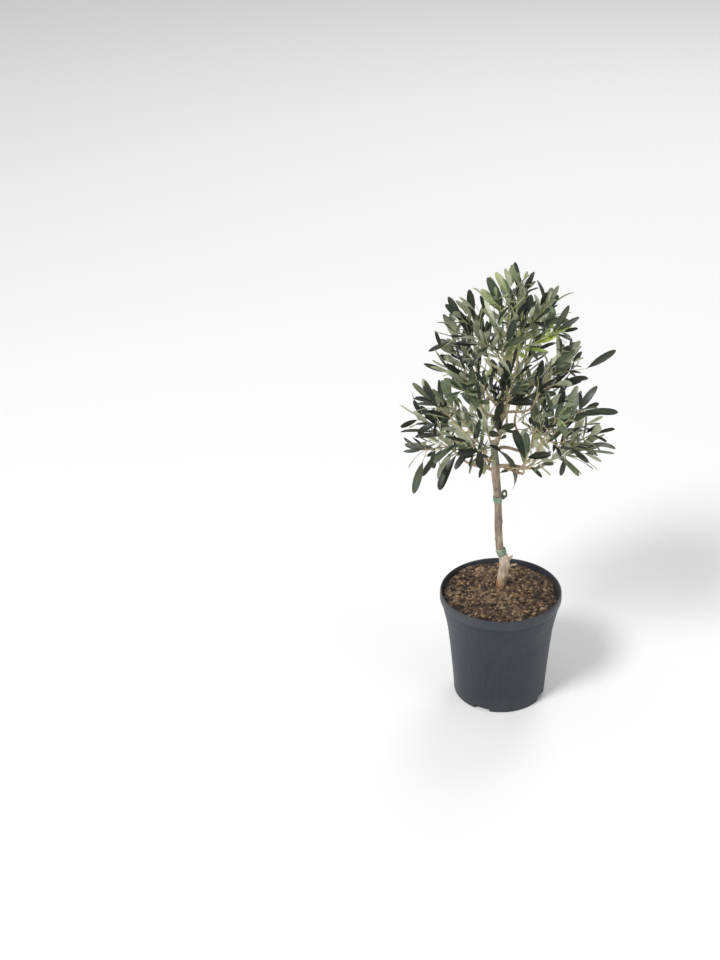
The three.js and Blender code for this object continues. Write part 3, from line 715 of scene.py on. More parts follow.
LOWEST_SEEN = 390
SMALLEST_SHARE = 0.5
HANGING_RANGE = (-75, 130)
STEM_GAP = ((-22, 44), (360, 426))


def edge_leaf(order, base, tip, tint, bend=EDGE_BEND, facing=TOWARD_VIEWER):
    """A leaf from its base to its tip, on a straight shoot from the nearest node or from the stem."""
    base, tip, facing = np.array(base, float), np.array(tip, float), np.array(facing)
    nodes = ((mass, node[0]) for mass in masses for node in mass["nodes"])
    mass, start = min(nodes, key=lambda pair: math.dist(pair[1], base))
    start = min(start, *limb_lines["trunk"][0], key=lambda point: math.dist(point, base))
    marks = dict(keys=(EDGE_KEY, order), mass=mass, tint=tint)
    mass["leaves"].append(laid_leaf(base, tip, bend, facing, EDGE_HALF_WIDTH, **marks))
    mass["twigs"].append(([start, base], None))


def seen_height(point):
    """The height where the camera's sight line through a point meets the plane y = 0."""
    return point[2] + SIGHT_SLOPE * point[1]


def kept_small(leaf):
    """The share of its size that a hanging leaf keeps, so that it ends at the crown's lower edge."""
    tip = midrib(leaf, [1])[0]
    start, end = seen_height(leaf["base"]), seen_height(tip)
    hangs = end < min(LOWEST_SEEN, start - 1) and HANGING_RANGE[0] < tip[0] < HANGING_RANGE[1]
    if "tint" in leaf or not hangs:
        return 1
    return min(1, max(SMALLEST_SHARE, (start - LOWEST_SEEN) / (start - end)))


def in_stem_gap(leaf):
    """Whether the camera sees the leaf's middle at the stem's top. Edge leaves don't count."""
    middle = midrib(leaf, [0.5])[0]
    (left, right), (low, high) = STEM_GAP
    return "tint" not in leaf and left < middle[0] < right and low < seen_height(middle) < high


for order, row in enumerate(EDGE_LEAVES):
    edge_leaf(order, *row)
grown = [leaf for mass in masses for leaf in mass["leaves"]]
leaves = [leaf for leaf in grown if not in_stem_gap(leaf)]
shares = [kept_small(leaf) for leaf in leaves]
for leaf, share in zip(leaves, shares):
    leaf.update(length=leaf["length"] * share, half_width=leaf["half_width"] * share)
print("all leaves:", len(leaves), "left out at the stem:", len(grown) - len(leaves))
print("kept small:", sum(share < 1 for share in shares))

# %% [markdown]
# ## Materials
#
# Each surface has a small recipe of nodes. The shared part of a recipe is a group with named
# inputs, and the shader itself stays in the material, where its fixed numbers are set.

# %% Material tools


def linear(red, green, blue):
    """An sRGB colour from 0 to 255 as the linear colour that shaders use."""
    parts = np.array([red, green, blue]) / 255
    return (*np.where(parts <= 0.04045, parts / 12.92, ((parts + 0.055) / 1.055) ** 2.4), 1.0)


def add_node(tree, kind, inputs=(), **settings):
    """A node with its settings, and its inputs given as values or as sockets to link."""
    node = tree.nodes.new(kind)
    for key, value in settings.items():
        setattr(node, key, value)
    for key, value in dict(inputs).items():
        if isinstance(value, bpy.types.NodeSocket):
            tree.links.new(value, node.inputs[key])
        else:
            node.inputs[key].default_value = value
    return node


class Recipe:
    """A node group in the making. Each method adds a node and gives its output."""

    results = {"Base Color": "NodeSocketColor", "Roughness": "NodeSocketFloat", "Height": "NodeSocketFloat"}

    def __init__(self, name, inputs):
        """Starts the group with named inputs, where a tuple is a colour, and with a surface's results."""
        self.tree = bpy.data.node_groups.new(name, "ShaderNodeTree")
        sockets = self.tree.interface
        for label, value in inputs.items():
            kind = "NodeSocketColor" if isinstance(value, tuple) else "NodeSocketFloat"
            sockets.new_socket(label, in_out="INPUT", socket_type=kind).default_value = value
        for label, kind in self.results.items():
            sockets.new_socket(label, in_out="OUTPUT", socket_type=kind)
        self.given = self.tree.nodes.new("NodeGroupInput").outputs
        self.places = self.node("ShaderNodeTexCoord")

    def node(self, kind, inputs=(), **settings):
        """The outputs of a new node."""
        return add_node(self.tree, kind, inputs, **settings).outputs

    def height(self):
        """How high a point lies, in metres."""
        return self.node("ShaderNodeSeparateXYZ", {0: self.places["Object"]})[2]

    def math(self, operation, first, second=0.0):
        """One sum, product or the like of two numbers."""
        return self.node("ShaderNodeMath", {0: first, 1: second}, operation=operation)[0]

    def add(self, first, second):
        """The sum of two numbers."""
        return self.math("ADD", first, second)

    def minus(self, first, second):
        """The first number less the second."""
        return self.math("SUBTRACT", first, second)

    def times(self, first, second):
        """The product of two numbers."""
        return self.math("MULTIPLY", first, second)

    def grain(self, scale, stretch=(1, 1, 1), detail=3, roughness=0.55, places=None):
        """A noise from 0 to 1 over the object's points in metres, stretched along the axes."""
        mapped = self.node("ShaderNodeMapping", {"Vector": places or self.places["Object"], "Scale": stretch})
        inputs = {"Vector": mapped[0], "Scale": scale, "Detail": detail, "Roughness": roughness}
        return self.node("ShaderNodeTexNoise", inputs)["Fac"]

    def span(self, value, low, high, to_low=0.0, to_high=1.0):
        """The value carried from one range to another, held at the ends."""
        inputs = {"Value": value, "From Min": low, "From Max": high, "To Min": to_low, "To Max": to_high}
        return self.node("ShaderNodeMapRange", inputs)["Result"]

    def mix(self, share, first, second, mode="MIX"):
        """Two colours mixed by a share."""
        inputs = {0: share, 6: first, 7: second}
        return self.node("ShaderNodeMix", inputs, data_type="RGBA", blend_type=mode)[2]

    def shaded(self, color, shade):
        """A colour made lighter or darker by a number."""
        gray = self.node("ShaderNodeCombineXYZ", {0: shade, 1: shade, 2: shade})[0]
        return self.mix(1.0, color, gray, "MULTIPLY")

    def finish(self, *results):
        """Links the colour, the roughness and the relief's height to the group's results."""
        end = self.tree.nodes.new("NodeGroupOutput")
        for label, socket in zip(self.results, results):
            self.tree.links.new(socket, end.inputs[label])
        print(self.tree.name, "has", len(self.tree.nodes), "nodes")


def make_material(recipe, name, inputs, bump, depth, specular):
    """A material whose recipe gives its colour, roughness and height to one Principled shader."""
    material = bpy.data.materials.new(name)
    material.use_nodes = True
    tree = material.node_tree
    group = add_node(tree, "ShaderNodeGroup", node_tree=recipe.tree)
    for label, value in inputs.items():
        group.inputs[label].default_value = linear(*value) if isinstance(value, tuple) else value
    relief = {"Height": group.outputs["Height"], "Strength": bump, "Distance": depth}
    principled = tree.nodes["Principled BSDF"]
    principled.inputs["Specular IOR Level"].default_value = specular
    tree.links.new(group.outputs["Base Color"], principled.inputs["Base Color"])
    tree.links.new(group.outputs["Roughness"], principled.inputs["Roughness"])
    tree.links.new(add_node(tree, "ShaderNodeBump", relief).outputs[0], principled.inputs["Normal"])
    return material


def make_materials(recipe, labels, rows, specular=0.5):
    """One material a row: its name, the recipe's labelled inputs, the bump's strength and its depth."""
    return [
        make_material(recipe, name, dict(zip(labels, inputs)), bump, depth, specular)
        for name, *inputs, bump, depth in rows
    ]


print("material tools are ready")

# %% [markdown]
# A leaf's recipe reads its own coordinates: across the blade and along it. A pale midrib runs
# along the middle, faint side veins leave it, and the blade is mottled a little.

# %% Leaf recipe
LEAF_INPUTS = ("Tint", "Vein", "Vein Strength", "Gloss")
recipe = Recipe(
    "leaf_surface",
    {"Tint": (0.1, 0.12, 0.08, 1), "Vein": (0.3, 0.35, 0.2, 1), "Vein Strength": 0.6, "Gloss": 0.45},
)
tint, vein, strength, gloss = (recipe.given[name] for name in LEAF_INPUTS)
across_blade, along_blade = recipe.node("ShaderNodeSeparateXYZ", {0: recipe.places["UV"]})[:2]
from_middle = recipe.math("ABSOLUTE", recipe.minus(across_blade, 0.5))
rib = recipe.span(from_middle, 0.015, 0.06, 1, 0)
slant = recipe.minus(recipe.times(along_blade, 9), recipe.times(from_middle, 5))
wave = recipe.math("ABSOLUTE", recipe.minus(recipe.math("FRACT", slant), 0.5))
veins = recipe.times(recipe.span(wave, 0, 0.12, 0.22, 0), recipe.span(from_middle, 0.05, 0.45, 1, 0.2))
lines = recipe.math("MAXIMUM", rib, veins)
mottle = recipe.grain(160, detail=2)
patches = recipe.grain(45, detail=1)
toned = recipe.shaded(tint, recipe.span(recipe.add(mottle, patches), 0.7, 1.3, 0.78, 1.2))
edged = recipe.mix(recipe.span(from_middle, 0.44, 0.5, 0, 0.25), toned, vein)
recipe.finish(
    recipe.mix(recipe.times(lines, strength), edged, vein),
    recipe.add(gloss, recipe.span(mottle, 0.3, 0.7, -0.06, 0.1)),
    recipe.minus(recipe.span(mottle, 0.2, 0.8, 0, 0.35), lines),
)

# %% [markdown]
# Leaves come in a few tints, dealt out by spray: most are dark grey-green above, some are
# lighter, and the youngest tips are yellow-green. Below, all are a pale silvery green.

# %% Leaf tints
UPPER_TINTS = [  # name, blade and veins
    ("leaf_deep", (23, 29, 18), (60, 70, 48)),
    ("leaf_dark", (38, 47, 32), (80, 90, 64)),
    ("leaf_grey", (70, 79, 60), (112, 122, 90)),
    ("leaf_soft", (102, 112, 86), (148, 156, 118)),
    ("leaf_light", (140, 152, 108), (172, 180, 134)),
    ("leaf_young", (166, 186, 92), (192, 206, 124)),
]
UNDER_TINTS = [
    ("under_grey", (162, 167, 140), (182, 185, 152)),
    ("under_silver", (192, 196, 168), (208, 210, 178)),
    ("under_young", (190, 204, 136), (210, 218, 158)),
]
LIGHT, YOUNG = 4, 5
UNDER_GREY, UNDER_SILVER, UNDER_YOUNG = 6, 7, 8
glossy = [(*row, 0.55, 0.42, 0.25, 0.0003) for row in UPPER_TINTS]
matt = [(*row, 0.7, 0.66, 0.3, 0.0003) for row in UNDER_TINTS]
leaf_materials = make_materials(recipe, LEAF_INPUTS, glossy, specular=0.45)
leaf_materials += make_materials(recipe, LEAF_INPUTS, matt, specular=0.3)
print("leaf materials:", len(leaf_materials))

# %% [markdown]
# ## The leaves
#
# Every leaf is one closed form of about sixty faces: a narrow stalk, a long oval blade with a
# blunt tip, a fold along the midrib, and a raised rib below. All leaves are worked out at once.

# %% Leaf shapes
STATIONS = np.array([0, 0.05, 0.12, 0.24, 0.4, 0.57, 0.74, 0.86, 0.94, 0.98, 1.0])
SLENDER = np.array([0.07, 0.07, 0.3, 0.68, 0.94, 1.0, 0.88, 0.67, 0.44, 0.25, 0.04])
SPATULATE = np.array([0.07, 0.07, 0.22, 0.52, 0.83, 1.0, 1.0, 0.86, 0.62, 0.36, 0.06])
RING_ACROSS = np.array([-1, -0.5, 0, 0.5, 1, 0])
RING_BELOW = np.array([0, 0, 0, 0, 0, 1])
SLIM = 0.94
MOST_TWIST, MOST_SWAY = 0.5, 0.05
FOLD, CURL = (0.08, 0.5), (0.05, 0.35)
RIB_AT_TIP, RIB_MORE_AT_STALK, FULL_RIB_LENGTH = 0.16, 0.3, 40


def leaf_numbers(key, low, high):
    """One drawn number for each leaf, from its own keys."""
    return np.array([between(low, high, leaf["mass"]["tier"]["seed"], *leaf["keys"], key) for leaf in leaves])


def leaf_grid():
    """All points (leaves, stations, ring, 3): the midrib's arc, and the ring across it.

    Across, a point lies at its share of the width. The blade's fold lifts it by the share, and
    its curl lowers it by the share squared. The rib below is the ring's last point.
    """
    names = ("base", "direction", "upper", "side", "length", "bend", "half_width")
    columns = (np.array([leaf[name] for leaf in leaves]) for name in names)
    base, direction, upper, side, length, bend, half = columns
    turn = bend[:, None] * STATIONS
    radius = (length / bend)[:, None]
    along, fall = radius * np.sin(turn), radius * (1 - np.cos(turn))
    middle = base[:, None] + along[..., None] * direction[:, None] - fall[..., None] * upper[:, None]
    normal = np.cos(turn)[..., None] * upper[:, None] + np.sin(turn)[..., None] * direction[:, None]
    twist = leaf_numbers(61, -MOST_TWIST, MOST_TWIST)[:, None] * STATIONS**2
    beside = np.cos(twist)[..., None] * side[:, None] + np.sin(twist)[..., None] * normal
    normal = np.cos(twist)[..., None] * normal - np.sin(twist)[..., None] * side[:, None]
    sway = leaf_numbers(62, -MOST_SWAY, MOST_SWAY)[:, None] * length[:, None] * (STATIONS**2 - STATIONS)
    kind = leaf_numbers(65, 0, 1)[:, None]
    width = SLIM * half[:, None] * (SLENDER + kind * (SPATULATE - SLENDER))
    share = np.abs(RING_ACROSS)
    fold = leaf_numbers(63, *FOLD)[:, None, None] * share
    curl = leaf_numbers(64, *CURL)[:, None, None] * share**2
    rib = RIB_AT_TIP + RIB_MORE_AT_STALK * (1 - STATIONS)
    rib = rib * np.minimum(1, length / FULL_RIB_LENGTH)[:, None]
    lift = width[..., None] * (fold - curl) - rib[..., None] * RING_BELOW
    flat = width[..., None] * RING_ACROSS + sway[..., None]
    return middle[:, :, None] + flat[..., None] * beside[:, :, None] + lift[..., None] * normal[:, :, None]


leaf_points_all = leaf_grid()
print("leaf points:", leaf_points_all.shape)

# %% [markdown]
# You deal each spray one tint, drawn for it. A few leaves are a step darker or lighter than
# their spray, and some small ones are a step lighter. Most leaves near the young tips of the
# photograph's crown are yellow-green or light instead.

# %% Tints by spray
YOUNG_TIPS = np.array([(37, -20, 621), (50, -20, 624), (75, -10, 634), (6, 0, 715), (-29, -9, 706)])
YOUNG_REACH = np.array([26, 22, 22, 30, 26])
YELLOW_TIPS = 3
SPRAY_SHARES = (0.3, 0.6, 0.84)
STEP_DOWN, STEP_UP = 0.2, 0.86
SMALL_LEAF = 32


def spray_tint(leaf):
    """The upper tint of a leaf: its spray's own, with a step to either side for a few leaves."""
    if "tint" in leaf:
        return leaf["tint"]
    seed, key = leaf["mass"]["tier"]["seed"], leaf["mass"]["key"]
    tip = leaf["base"] + leaf["length"] * leaf["direction"]
    near = np.linalg.norm(YOUNG_TIPS - tip, axis=1) / YOUNG_REACH
    if near.min() < 1 and chance(seed, *leaf["keys"], 71) < 0.75:
        return YOUNG if near.argmin() < YELLOW_TIPS else LIGHT
    spray = chance(seed, key, leaf["spray"], 72)
    tint = sum(spray >= share for share in SPRAY_SHARES)
    step = chance(seed, *leaf["keys"], 73)
    tint += (step > STEP_UP) - (step < STEP_DOWN)
    if leaf["length"] < SMALL_LEAF and chance(seed, *leaf["keys"], 74) < 0.35:
        tint += 1
    return max(0, min(LIGHT, tint))


upper_tint = np.array([spray_tint(leaf) for leaf in leaves])
under_tint = np.where(leaf_numbers(75, 0, 1) < 0.45, UNDER_GREY, UNDER_SILVER)
under_tint = np.where(upper_tint == YOUNG, UNDER_YOUNG, under_tint)
print("leaves of each upper tint:", np.bincount(upper_tint, minlength=6))

# %% [markdown]
# The leaves of each tier become one mesh, so that no mesh grows too large.

# %% Leaf meshes
RING = len(RING_ACROSS)
UPPER_COLUMNS = 4
ring_u = np.array([0, 0.25, 0.5, 0.75, 1, 0.5])
column = np.tile(np.arange(RING), len(STATIONS) - 1)
row = np.repeat(np.arange(len(STATIONS) - 1), RING)
start_u, end_u = ring_u[column], ring_u[(column + 1) % RING]
start_v, end_v = STATIONS[row], STATIONS[row + 1]
face_uv = np.array([(start_u, start_v), (end_u, start_v), (end_u, end_v), (start_u, end_v)])
face_uv = np.moveaxis(face_uv, -1, 0)


def make_leaves(name, chosen, nodes):
    """One mesh of the chosen leaves, whose blades and undersides take their own tints."""
    count, upper, under = len(chosen), upper_tint[chosen], under_tint[chosen]
    above = np.tile(column < UPPER_COLUMNS, count)
    walls = np.where(above, np.repeat(upper, len(column)), np.repeat(under, len(column)))
    uv = [np.tile(face_uv, (count, 1, 1)), np.full((2 * count, RING, 2), 0.5)]
    points, faces = leaf_points_all[chosen].reshape(-1, 3), closed_faces(count, len(STATIONS), RING)
    piece = make_piece(name, points, faces, leaf_materials, [walls, upper, upper], uv)
    ends = np.empty(len(piece.data.edges) * 2, np.int32)
    piece.data.edges.foreach_get("vertices", ends)
    on_ring = ends.reshape(-1, 2) % RING
    sharp = (on_ring[:, 0] == on_ring[:, 1]) & np.isin(on_ring[:, 0], (0, UPPER_COLUMNS))
    keep_values(piece, "sharp_edge", "BOOLEAN", "EDGE", "value", sharp)
    place(piece, "leaves", *nodes)


for kind in ("low", "fork", "middle", "upper", "top", "inner", "crest"):
    own = [mass["name"] for mass in masses if mass["name"].startswith(kind)]
    chosen = np.array([k for k, leaf in enumerate(leaves) if leaf["mass"]["name"] in own])
    make_leaves(f"{kind}_leaves", chosen, own)

# %% [markdown]
# ## Bark
#
# One recipe serves the stubs, the leader, the boughs, the twigs and the cut wood. Two colours are
# mixed by noise that is stretched along the stem, cracks are darker, and a third colour takes
# over above a height.

# %% Bark recipe
BARK_INPUTS = ("Light", "Dark", "Top", "Top Height", "Fineness")
recipe = Recipe("bark_surface", {
    "Light": (0.4, 0.35, 0.3, 1), "Dark": (0.2, 0.17, 0.14, 1), "Top": (0.3, 0.33, 0.25, 1),
    "Top Height": 2.0, "Fineness": 1.0,
})
light, dark, top, top_height, fineness = (recipe.given[name] for name in BARK_INPUTS)
scaled = {0: recipe.places["Object"], "Scale": fineness}
scaled = recipe.node("ShaderNodeVectorMath", scaled, operation="SCALE")[0]
streaks = recipe.grain(260, (1, 1, 0.22), detail=4, roughness=0.6, places=scaled)
blotches = recipe.grain(60, (1, 1, 0.5), detail=2, places=scaled)
fine = recipe.grain(900, (1, 1, 0.5), detail=2, places=scaled)
bark = recipe.mix(recipe.span(recipe.add(streaks, blotches), 0.8, 1.2), dark, light)
wander = recipe.add(recipe.height(), recipe.span(blotches, 0.3, 0.7, -0.012, 0.012))
topped = recipe.mix(recipe.span(recipe.minus(wander, top_height), -0.03, 0.04, 0, 0.8), bark, top)
recipe.finish(
    recipe.mix(recipe.span(streaks, 0.34, 0.44, 0.45, 0), topped, dark),
    recipe.span(fine, 0.3, 0.7, 0.68, 0.88),
    recipe.add(recipe.span(streaks, 0.3, 0.6), recipe.times(fine, 0.5)),
)
stub_bark, bough_bark, twig_bark, cut_wood = make_materials(recipe, BARK_INPUTS, [
    ("stub_bark", (206, 188, 164), (150, 128, 106), (206, 188, 164), 2.0, 1.4, 0.5, 0.0004),
    ("bough_bark", (184, 166, 142), (124, 105, 84), (170, 166, 130), 0.5, 1.6, 0.45, 0.0004),
    ("twig_bark", (204, 196, 154), (160, 146, 108), (194, 198, 144), 0.56, 2.0, 0.25, 0.0002),
    ("cut_wood", (206, 188, 160), (168, 142, 112), (206, 188, 160), 2.0, 1.4, 0.3, 0.0003),
])

# %% [markdown]
# The trunk's own recipe reads its ground colour from the mesh, where you paint it by height.
# The recipe adds streaks, blotches and small pale pores.

# %% Trunk recipe
recipe = Recipe("trunk_surface", {"Streak Strength": 1.0, "Pore": (0.5, 0.45, 0.38, 1)})
painted = recipe.node("ShaderNodeAttribute", attribute_name="tone")["Color"]
streaks = recipe.grain(330, (1, 1, 0.16), detail=4, roughness=0.6)
blotches = recipe.grain(75, (1, 1, 0.45), detail=2)
fine = recipe.grain(1000, (1, 1, 0.5), detail=2)
mixed = recipe.minus(recipe.span(recipe.add(streaks, blotches), 0.78, 1.2, 0.5, 1.22), 1)
shade = recipe.add(recipe.times(mixed, recipe.given["Streak Strength"]), 1)
pores = recipe.span(recipe.grain(420, (1, 1, 1.8), detail=1), 0.7, 0.75, 0, 0.6)
recipe.finish(
    recipe.mix(pores, recipe.shaded(painted, shade), recipe.given["Pore"]),
    recipe.span(fine, 0.3, 0.7, 0.7, 0.9),
    recipe.add(streaks, recipe.times(fine, 0.4)),
)
rows = [("trunk_bark", 1.0, (196, 182, 158), 0.7, 0.0008)]
trunk_bark = make_materials(recipe, ("Streak Strength", "Pore"), rows)[0]

# %% [markdown]
# ## Trunk
#
# The trunk is one surface, ring on ring along its line. Its radius is the line's own, plus
# ridges that run lengthwise, a few warts and knots, and a slight unroundness.

# %% Trunk
TRUNK_RINGS, TRUNK_SIDES = 300, 72
# Knots as height, direction in degrees from +X, width and rise, all lengths in mm.
KNOTS = [
    (361, -100, 4.5, 1.4), (322, -70, 4, 1.2), (384, -140, 6, 1.5), (239, -50, 5.5, 0.9),
    (226, 160, 5, 1.0), (270, -160, 4, 1.0), (300, 10, 4.5, 1.1), (341, 120, 4, 1.0),
    (404, -40, 4, 0.9), (420, -130, 4, 0.9), (204, -80, 6, 0.8),
]
# Ground colour of the bark by height in mm, and patches as height, degrees, size, colour and strength.
BARK_BANDS = [
    (176, (112, 86, 68)), (182, (148, 118, 94)), (190, (190, 162, 136)), (202, (202, 184, 160)),
    (226, (206, 188, 164)), (240, (184, 166, 144)), (256, (158, 142, 123)), (340, (155, 140, 122)),
    (372, (160, 143, 126)), (385, (176, 151, 135)), (398, (157, 147, 130)), (416, (140, 145, 128)),
    (436, (150, 150, 132)),
]
BARK_PATCHES = [
    (187, -150, 9, (196, 128, 82), 0.75), (236, -60, 7, (216, 200, 178), 0.8),
    (361, -100, 3, (104, 88, 74), 0.7), (322, -70, 3, (104, 88, 74), 0.7),
    (270, -160, 3, (112, 96, 80), 0.5), (300, 10, 3.5, (104, 88, 74), 0.6),
    (412, -60, 8, (122, 136, 112), 0.5), (214, 10, 9, (150, 130, 108), 0.6),
]
BARK_RADIUS = 6
FOOT_HEIGHTS, FOOT_SHARES = (174, 182, 204), (0.8, 0.84, 1)
SHARE_UNDER_RIDGES = 0.98
TOP_SHARES = np.array([0.995, 0.97, 0.9])


def on_bark(angle, heights, height, degrees):
    """Distance in mm along the bark from a spot at a height and a direction."""
    turn = (angle - math.radians(degrees) + math.pi) % (2 * math.pi) - math.pi
    return np.hypot(turn * BARK_RADIUS, (heights - height) * 0.8)


def bark_tone(angle, heights):
    """The ground colour at each point: bands by height, then each patch mixed in round its spot."""
    stops = [height for height, _ in BARK_BANDS]
    colours = np.array([linear(*colour)[:3] for _, colour in BARK_BANDS])
    tone = np.stack([np.interp(heights, stops, colours[:, k]) for k in range(3)], -1)
    for height, degrees, size, colour, strength in BARK_PATCHES:
        share = strength * np.exp(-2 * (on_bark(angle, heights, height, degrees) / size) ** 2)[..., None]
        tone = tone + share * (np.array(linear(*colour)[:3]) - tone)
    return np.concatenate([tone, np.ones_like(tone[..., :1])], -1)


def bark_relief(points, angle, heights):
    """How far the bark stands out at each point: ridges, grain, warts, and knots as soft bumps."""
    ridges = 0.5 - np.abs(noise(points * np.array([1, 1, 0.18]), 1.9, 3))
    swells = noise(points * np.array([1, 1, 0.5]), 6, 5)
    relief = 0.36 * ridges + 0.14 * noise(points, 1.1, 4) + 0.42 * swells
    for height, degrees, width, rise in KNOTS:
        distance = on_bark(angle, heights, height, degrees) / width
        relief += rise * np.exp(-2.4 * distance**2) - 0.35 * rise * np.exp(-9 * distance**2)
    return relief


parts = np.linspace(0, 1, TRUNK_RINGS)
path = catmull(TRUNK_LINE[:, :3], parts)
smooth_radius = catmull(TRUNK_LINE[:, [3, 3, 3]], parts)[:, :1]
square = np.array([[0.0, 1, 0]])
spokes = limb_spokes(path[None], TRUNK_SIDES, square)[0]
round_points = path[:, None] + smooth_radius[..., None] * spokes
azimuth, heights = np.arctan2(spokes[..., 1], spokes[..., 0]), round_points[..., 2]
foot = np.interp(path[:, 2:], FOOT_HEIGHTS, FOOT_SHARES)
radii = smooth_radius * foot * SHARE_UNDER_RIDGES + bark_relief(round_points, azimuth, heights)
radii[-3:] *= TOP_SHARES[:, None]
points, faces = limbs(path[None], radii[None], TRUNK_SIDES, square)
trunk_piece = make_piece("trunk_bark_mesh", points, faces, [trunk_bark, cut_wood], [0, 0, 1])
tone = bark_tone(azimuth, heights).astype(np.float32)
keep_values(trunk_piece, "tone", "FLOAT_COLOR", "POINT", "color", tone.ravel())
place(trunk_piece, "bark", "trunk")

# %% [markdown]
# Two short pruned stubs with pale cut ends stand at the trunk's kink. The leader and the boughs
# are smooth limbs through the growth rule's points, with small swellings and wrinkles.

# %% Stubs, leader and boughs
STUB_RINGS, STUB_SIDES = 16, 16
STUBS = [  # start, end, and the radii at shares of the length
    ((5.6, 16, 217), (24.2, 14, 223.4), (0, 0.2, 0.85, 1), (3.4, 2.2, 1.5, 1.0)),
    ((7, 15.5, 224), (17.2, 14, 239.5), (0, 0.3, 0.8, 1), (5.4, 3.4, 2.1, 1.3)),
]


def wrinkles(paths, sides, step, size, seed):
    """A number from -1 to 1 for each point of limbs: noise that shifts a step from side to side."""
    shifts = np.arange(sides)[:, None] * np.array([step, 0, 0])
    return noise(np.repeat(paths[:, :, None], sides, 2) + shifts, size, seed)


shares = np.linspace(0, 1, STUB_RINGS)
paths = np.stack([np.array(start) + shares[:, None] * np.subtract(end, start) for start, end, *_ in STUBS])
radii = np.stack([np.interp(shares, *profile) for _, _, *profile in STUBS])[..., None]
radii = radii + 0.25 * wrinkles(paths, STUB_SIDES, 0.6, 1.6, 8)
points, faces = limbs(paths, radii, STUB_SIDES)
place(make_piece("pruned_stubs", points, faces, [stub_bark, cut_wood], [0, 0, 1]), "bark")


def limb_mesh(name, lines, rings, sides, slot, nodes):
    """Limbs as one mesh: smooth curves through their points, with small swellings and wrinkles."""
    fractions = np.linspace(0, 1, rings)
    paths = np.stack([catmull(points, fractions) for points, _ in lines])
    radii = [np.interp(fractions, np.linspace(0, 1, len(radii)), radii) for _, radii in lines]
    radii = np.stack(radii) + 0.16 * noise(paths, 5, 9)
    radii = radii[..., None] + 0.12 * wrinkles(paths, sides, 0.9, 1.7, 10)
    place(make_piece(name, *limbs(paths, radii, sides), [bough_bark]), slot, *nodes)


shares = np.linspace(0, 1, 60)
leader_radii = np.interp(shares * 5, range(6), LEADER_LINE[:, 3])
leader = (catmull(LEADER_LINE[:, :3], shares), leader_radii)
limb_mesh("leader_bark", [leader], 160, 20, "bark", ["leader"])
boughs = {name: line for name, line in limb_lines.items() if "bough" in name}
limb_mesh("bough_bark_mesh", boughs.values(), 40, 14, "young_bark", boughs)

# %% [markdown]
# ## Twigs
#
# Stems, side twigs and short shoots are thin limbs. They join the leaves' stalks, because a
# leaf starts in the middle of its twig.

# %% Twigs
# First and last radius in mm, by the mark that the rule gave: stems, side twigs and short shoots.
TWIG_RADII = {True: (1.65, 0.85), False: (1.15, 0.65), None: (0.75, 0.45)}


def twig_mesh(name, kind, rings, sides):
    """All twigs of one kind as one mesh, a little uneven in thickness."""
    chosen = [controls for mass in masses for controls, which in mass["twigs"] if which is kind]
    parts = np.linspace(0, 1, rings)
    paths = np.stack([bezier(controls, parts) for controls in chosen])
    first, last = TWIG_RADII[kind]
    radii = first + (last - first) * parts + 0.1 * noise(paths, 4, 12)
    place(make_piece(name, *limbs(paths, radii[..., None], sides), [twig_bark]), "young_bark")


twig_mesh("foliage_stems", True, 30, 8)
twig_mesh("side_twigs", False, 14, 7)
twig_mesh("short_shoots", None, 5, 6)

# %% [markdown]
# ## Ties
#
# Two soft green tapes are left round the trunk. Each is a band with rounded edges, wrapped
# twice with a slight tilt, and the upper one ends in a small loop at its right. The loop and its
# knot take a darker copy of the tape, as painted shade.

# %% Tie recipe and bands
recipe = Recipe("tape_surface", {"Tint": (0.3, 0.35, 0.25, 1), "Worn": (0.5, 0.5, 0.4, 1)})
creases = recipe.grain(420, (1, 1, 2.2))
dirt = recipe.span(recipe.grain(150), 0.42, 0.62, 0, 0.8)
worn = recipe.mix(dirt, recipe.given["Tint"], recipe.given["Worn"])
recipe.finish(worn, recipe.span(creases, 0.3, 0.7, 0.38, 0.62), creases)
tapes = make_materials(recipe, ("Tint", "Worn"), [
    ("tie_tape_green", (116, 142, 120), (166, 174, 150), 0.6, 0.0006),
    ("tie_tape_shaded", (66, 82, 68), (112, 126, 108), 0.6, 0.0006),
])
SECTION = np.array([
    (-0.5, 0.35), (-0.25, 0.5), (0.25, 0.5), (0.5, 0.35),
    (0.5, -0.35), (0.25, -0.5), (-0.25, -0.5), (-0.5, -0.35),
])


def wrap(height, width, thickness, offset, tilt, turn, seed, around=80):
    """A wrap of tape: the section's first number goes outwards and its second along the trunk."""
    angle = full_turn(around)
    out = np.stack([np.cos(angle), np.sin(angle), 0 * angle], -1)
    middles = np.stack([at_height(TRUNK_LINE, height + rise) for rise in tilt * np.cos(angle - turn)])
    ripple = 0.22 * noise(out * 6 + height, 2.2, seed)
    radius = (middles[:, 3] + offset + ripple)[:, None] + thickness * SECTION[None, :, 0]
    along = width * SECTION[None, :, 1] * (1 + 0.06 * noise(out * 5, 3, seed + 1))[:, None]
    return middles[:, None, :3] + radius[..., None] * out[:, None] + along[..., None] * UP


def upright_ring(around, middle, reach, size, sway=0.0, flatness=1.0):
    """A small upright ring of tape, whose section goes outwards and from front to back."""
    angle = full_turn(around)
    bow = np.stack([reach[0] * np.cos(angle), sway * np.sin(2 * angle), reach[1] * np.sin(angle)], -1)
    out = unit_rows(np.stack([np.cos(angle), 0 * angle, flatness * np.sin(angle)], -1))
    back = size[1] * SECTION[None, :, 1:] * np.array([0.0, 1, 0])
    return (middle + bow)[:, None] + size[0] * SECTION[None, :, :1] * out[:, None] + back


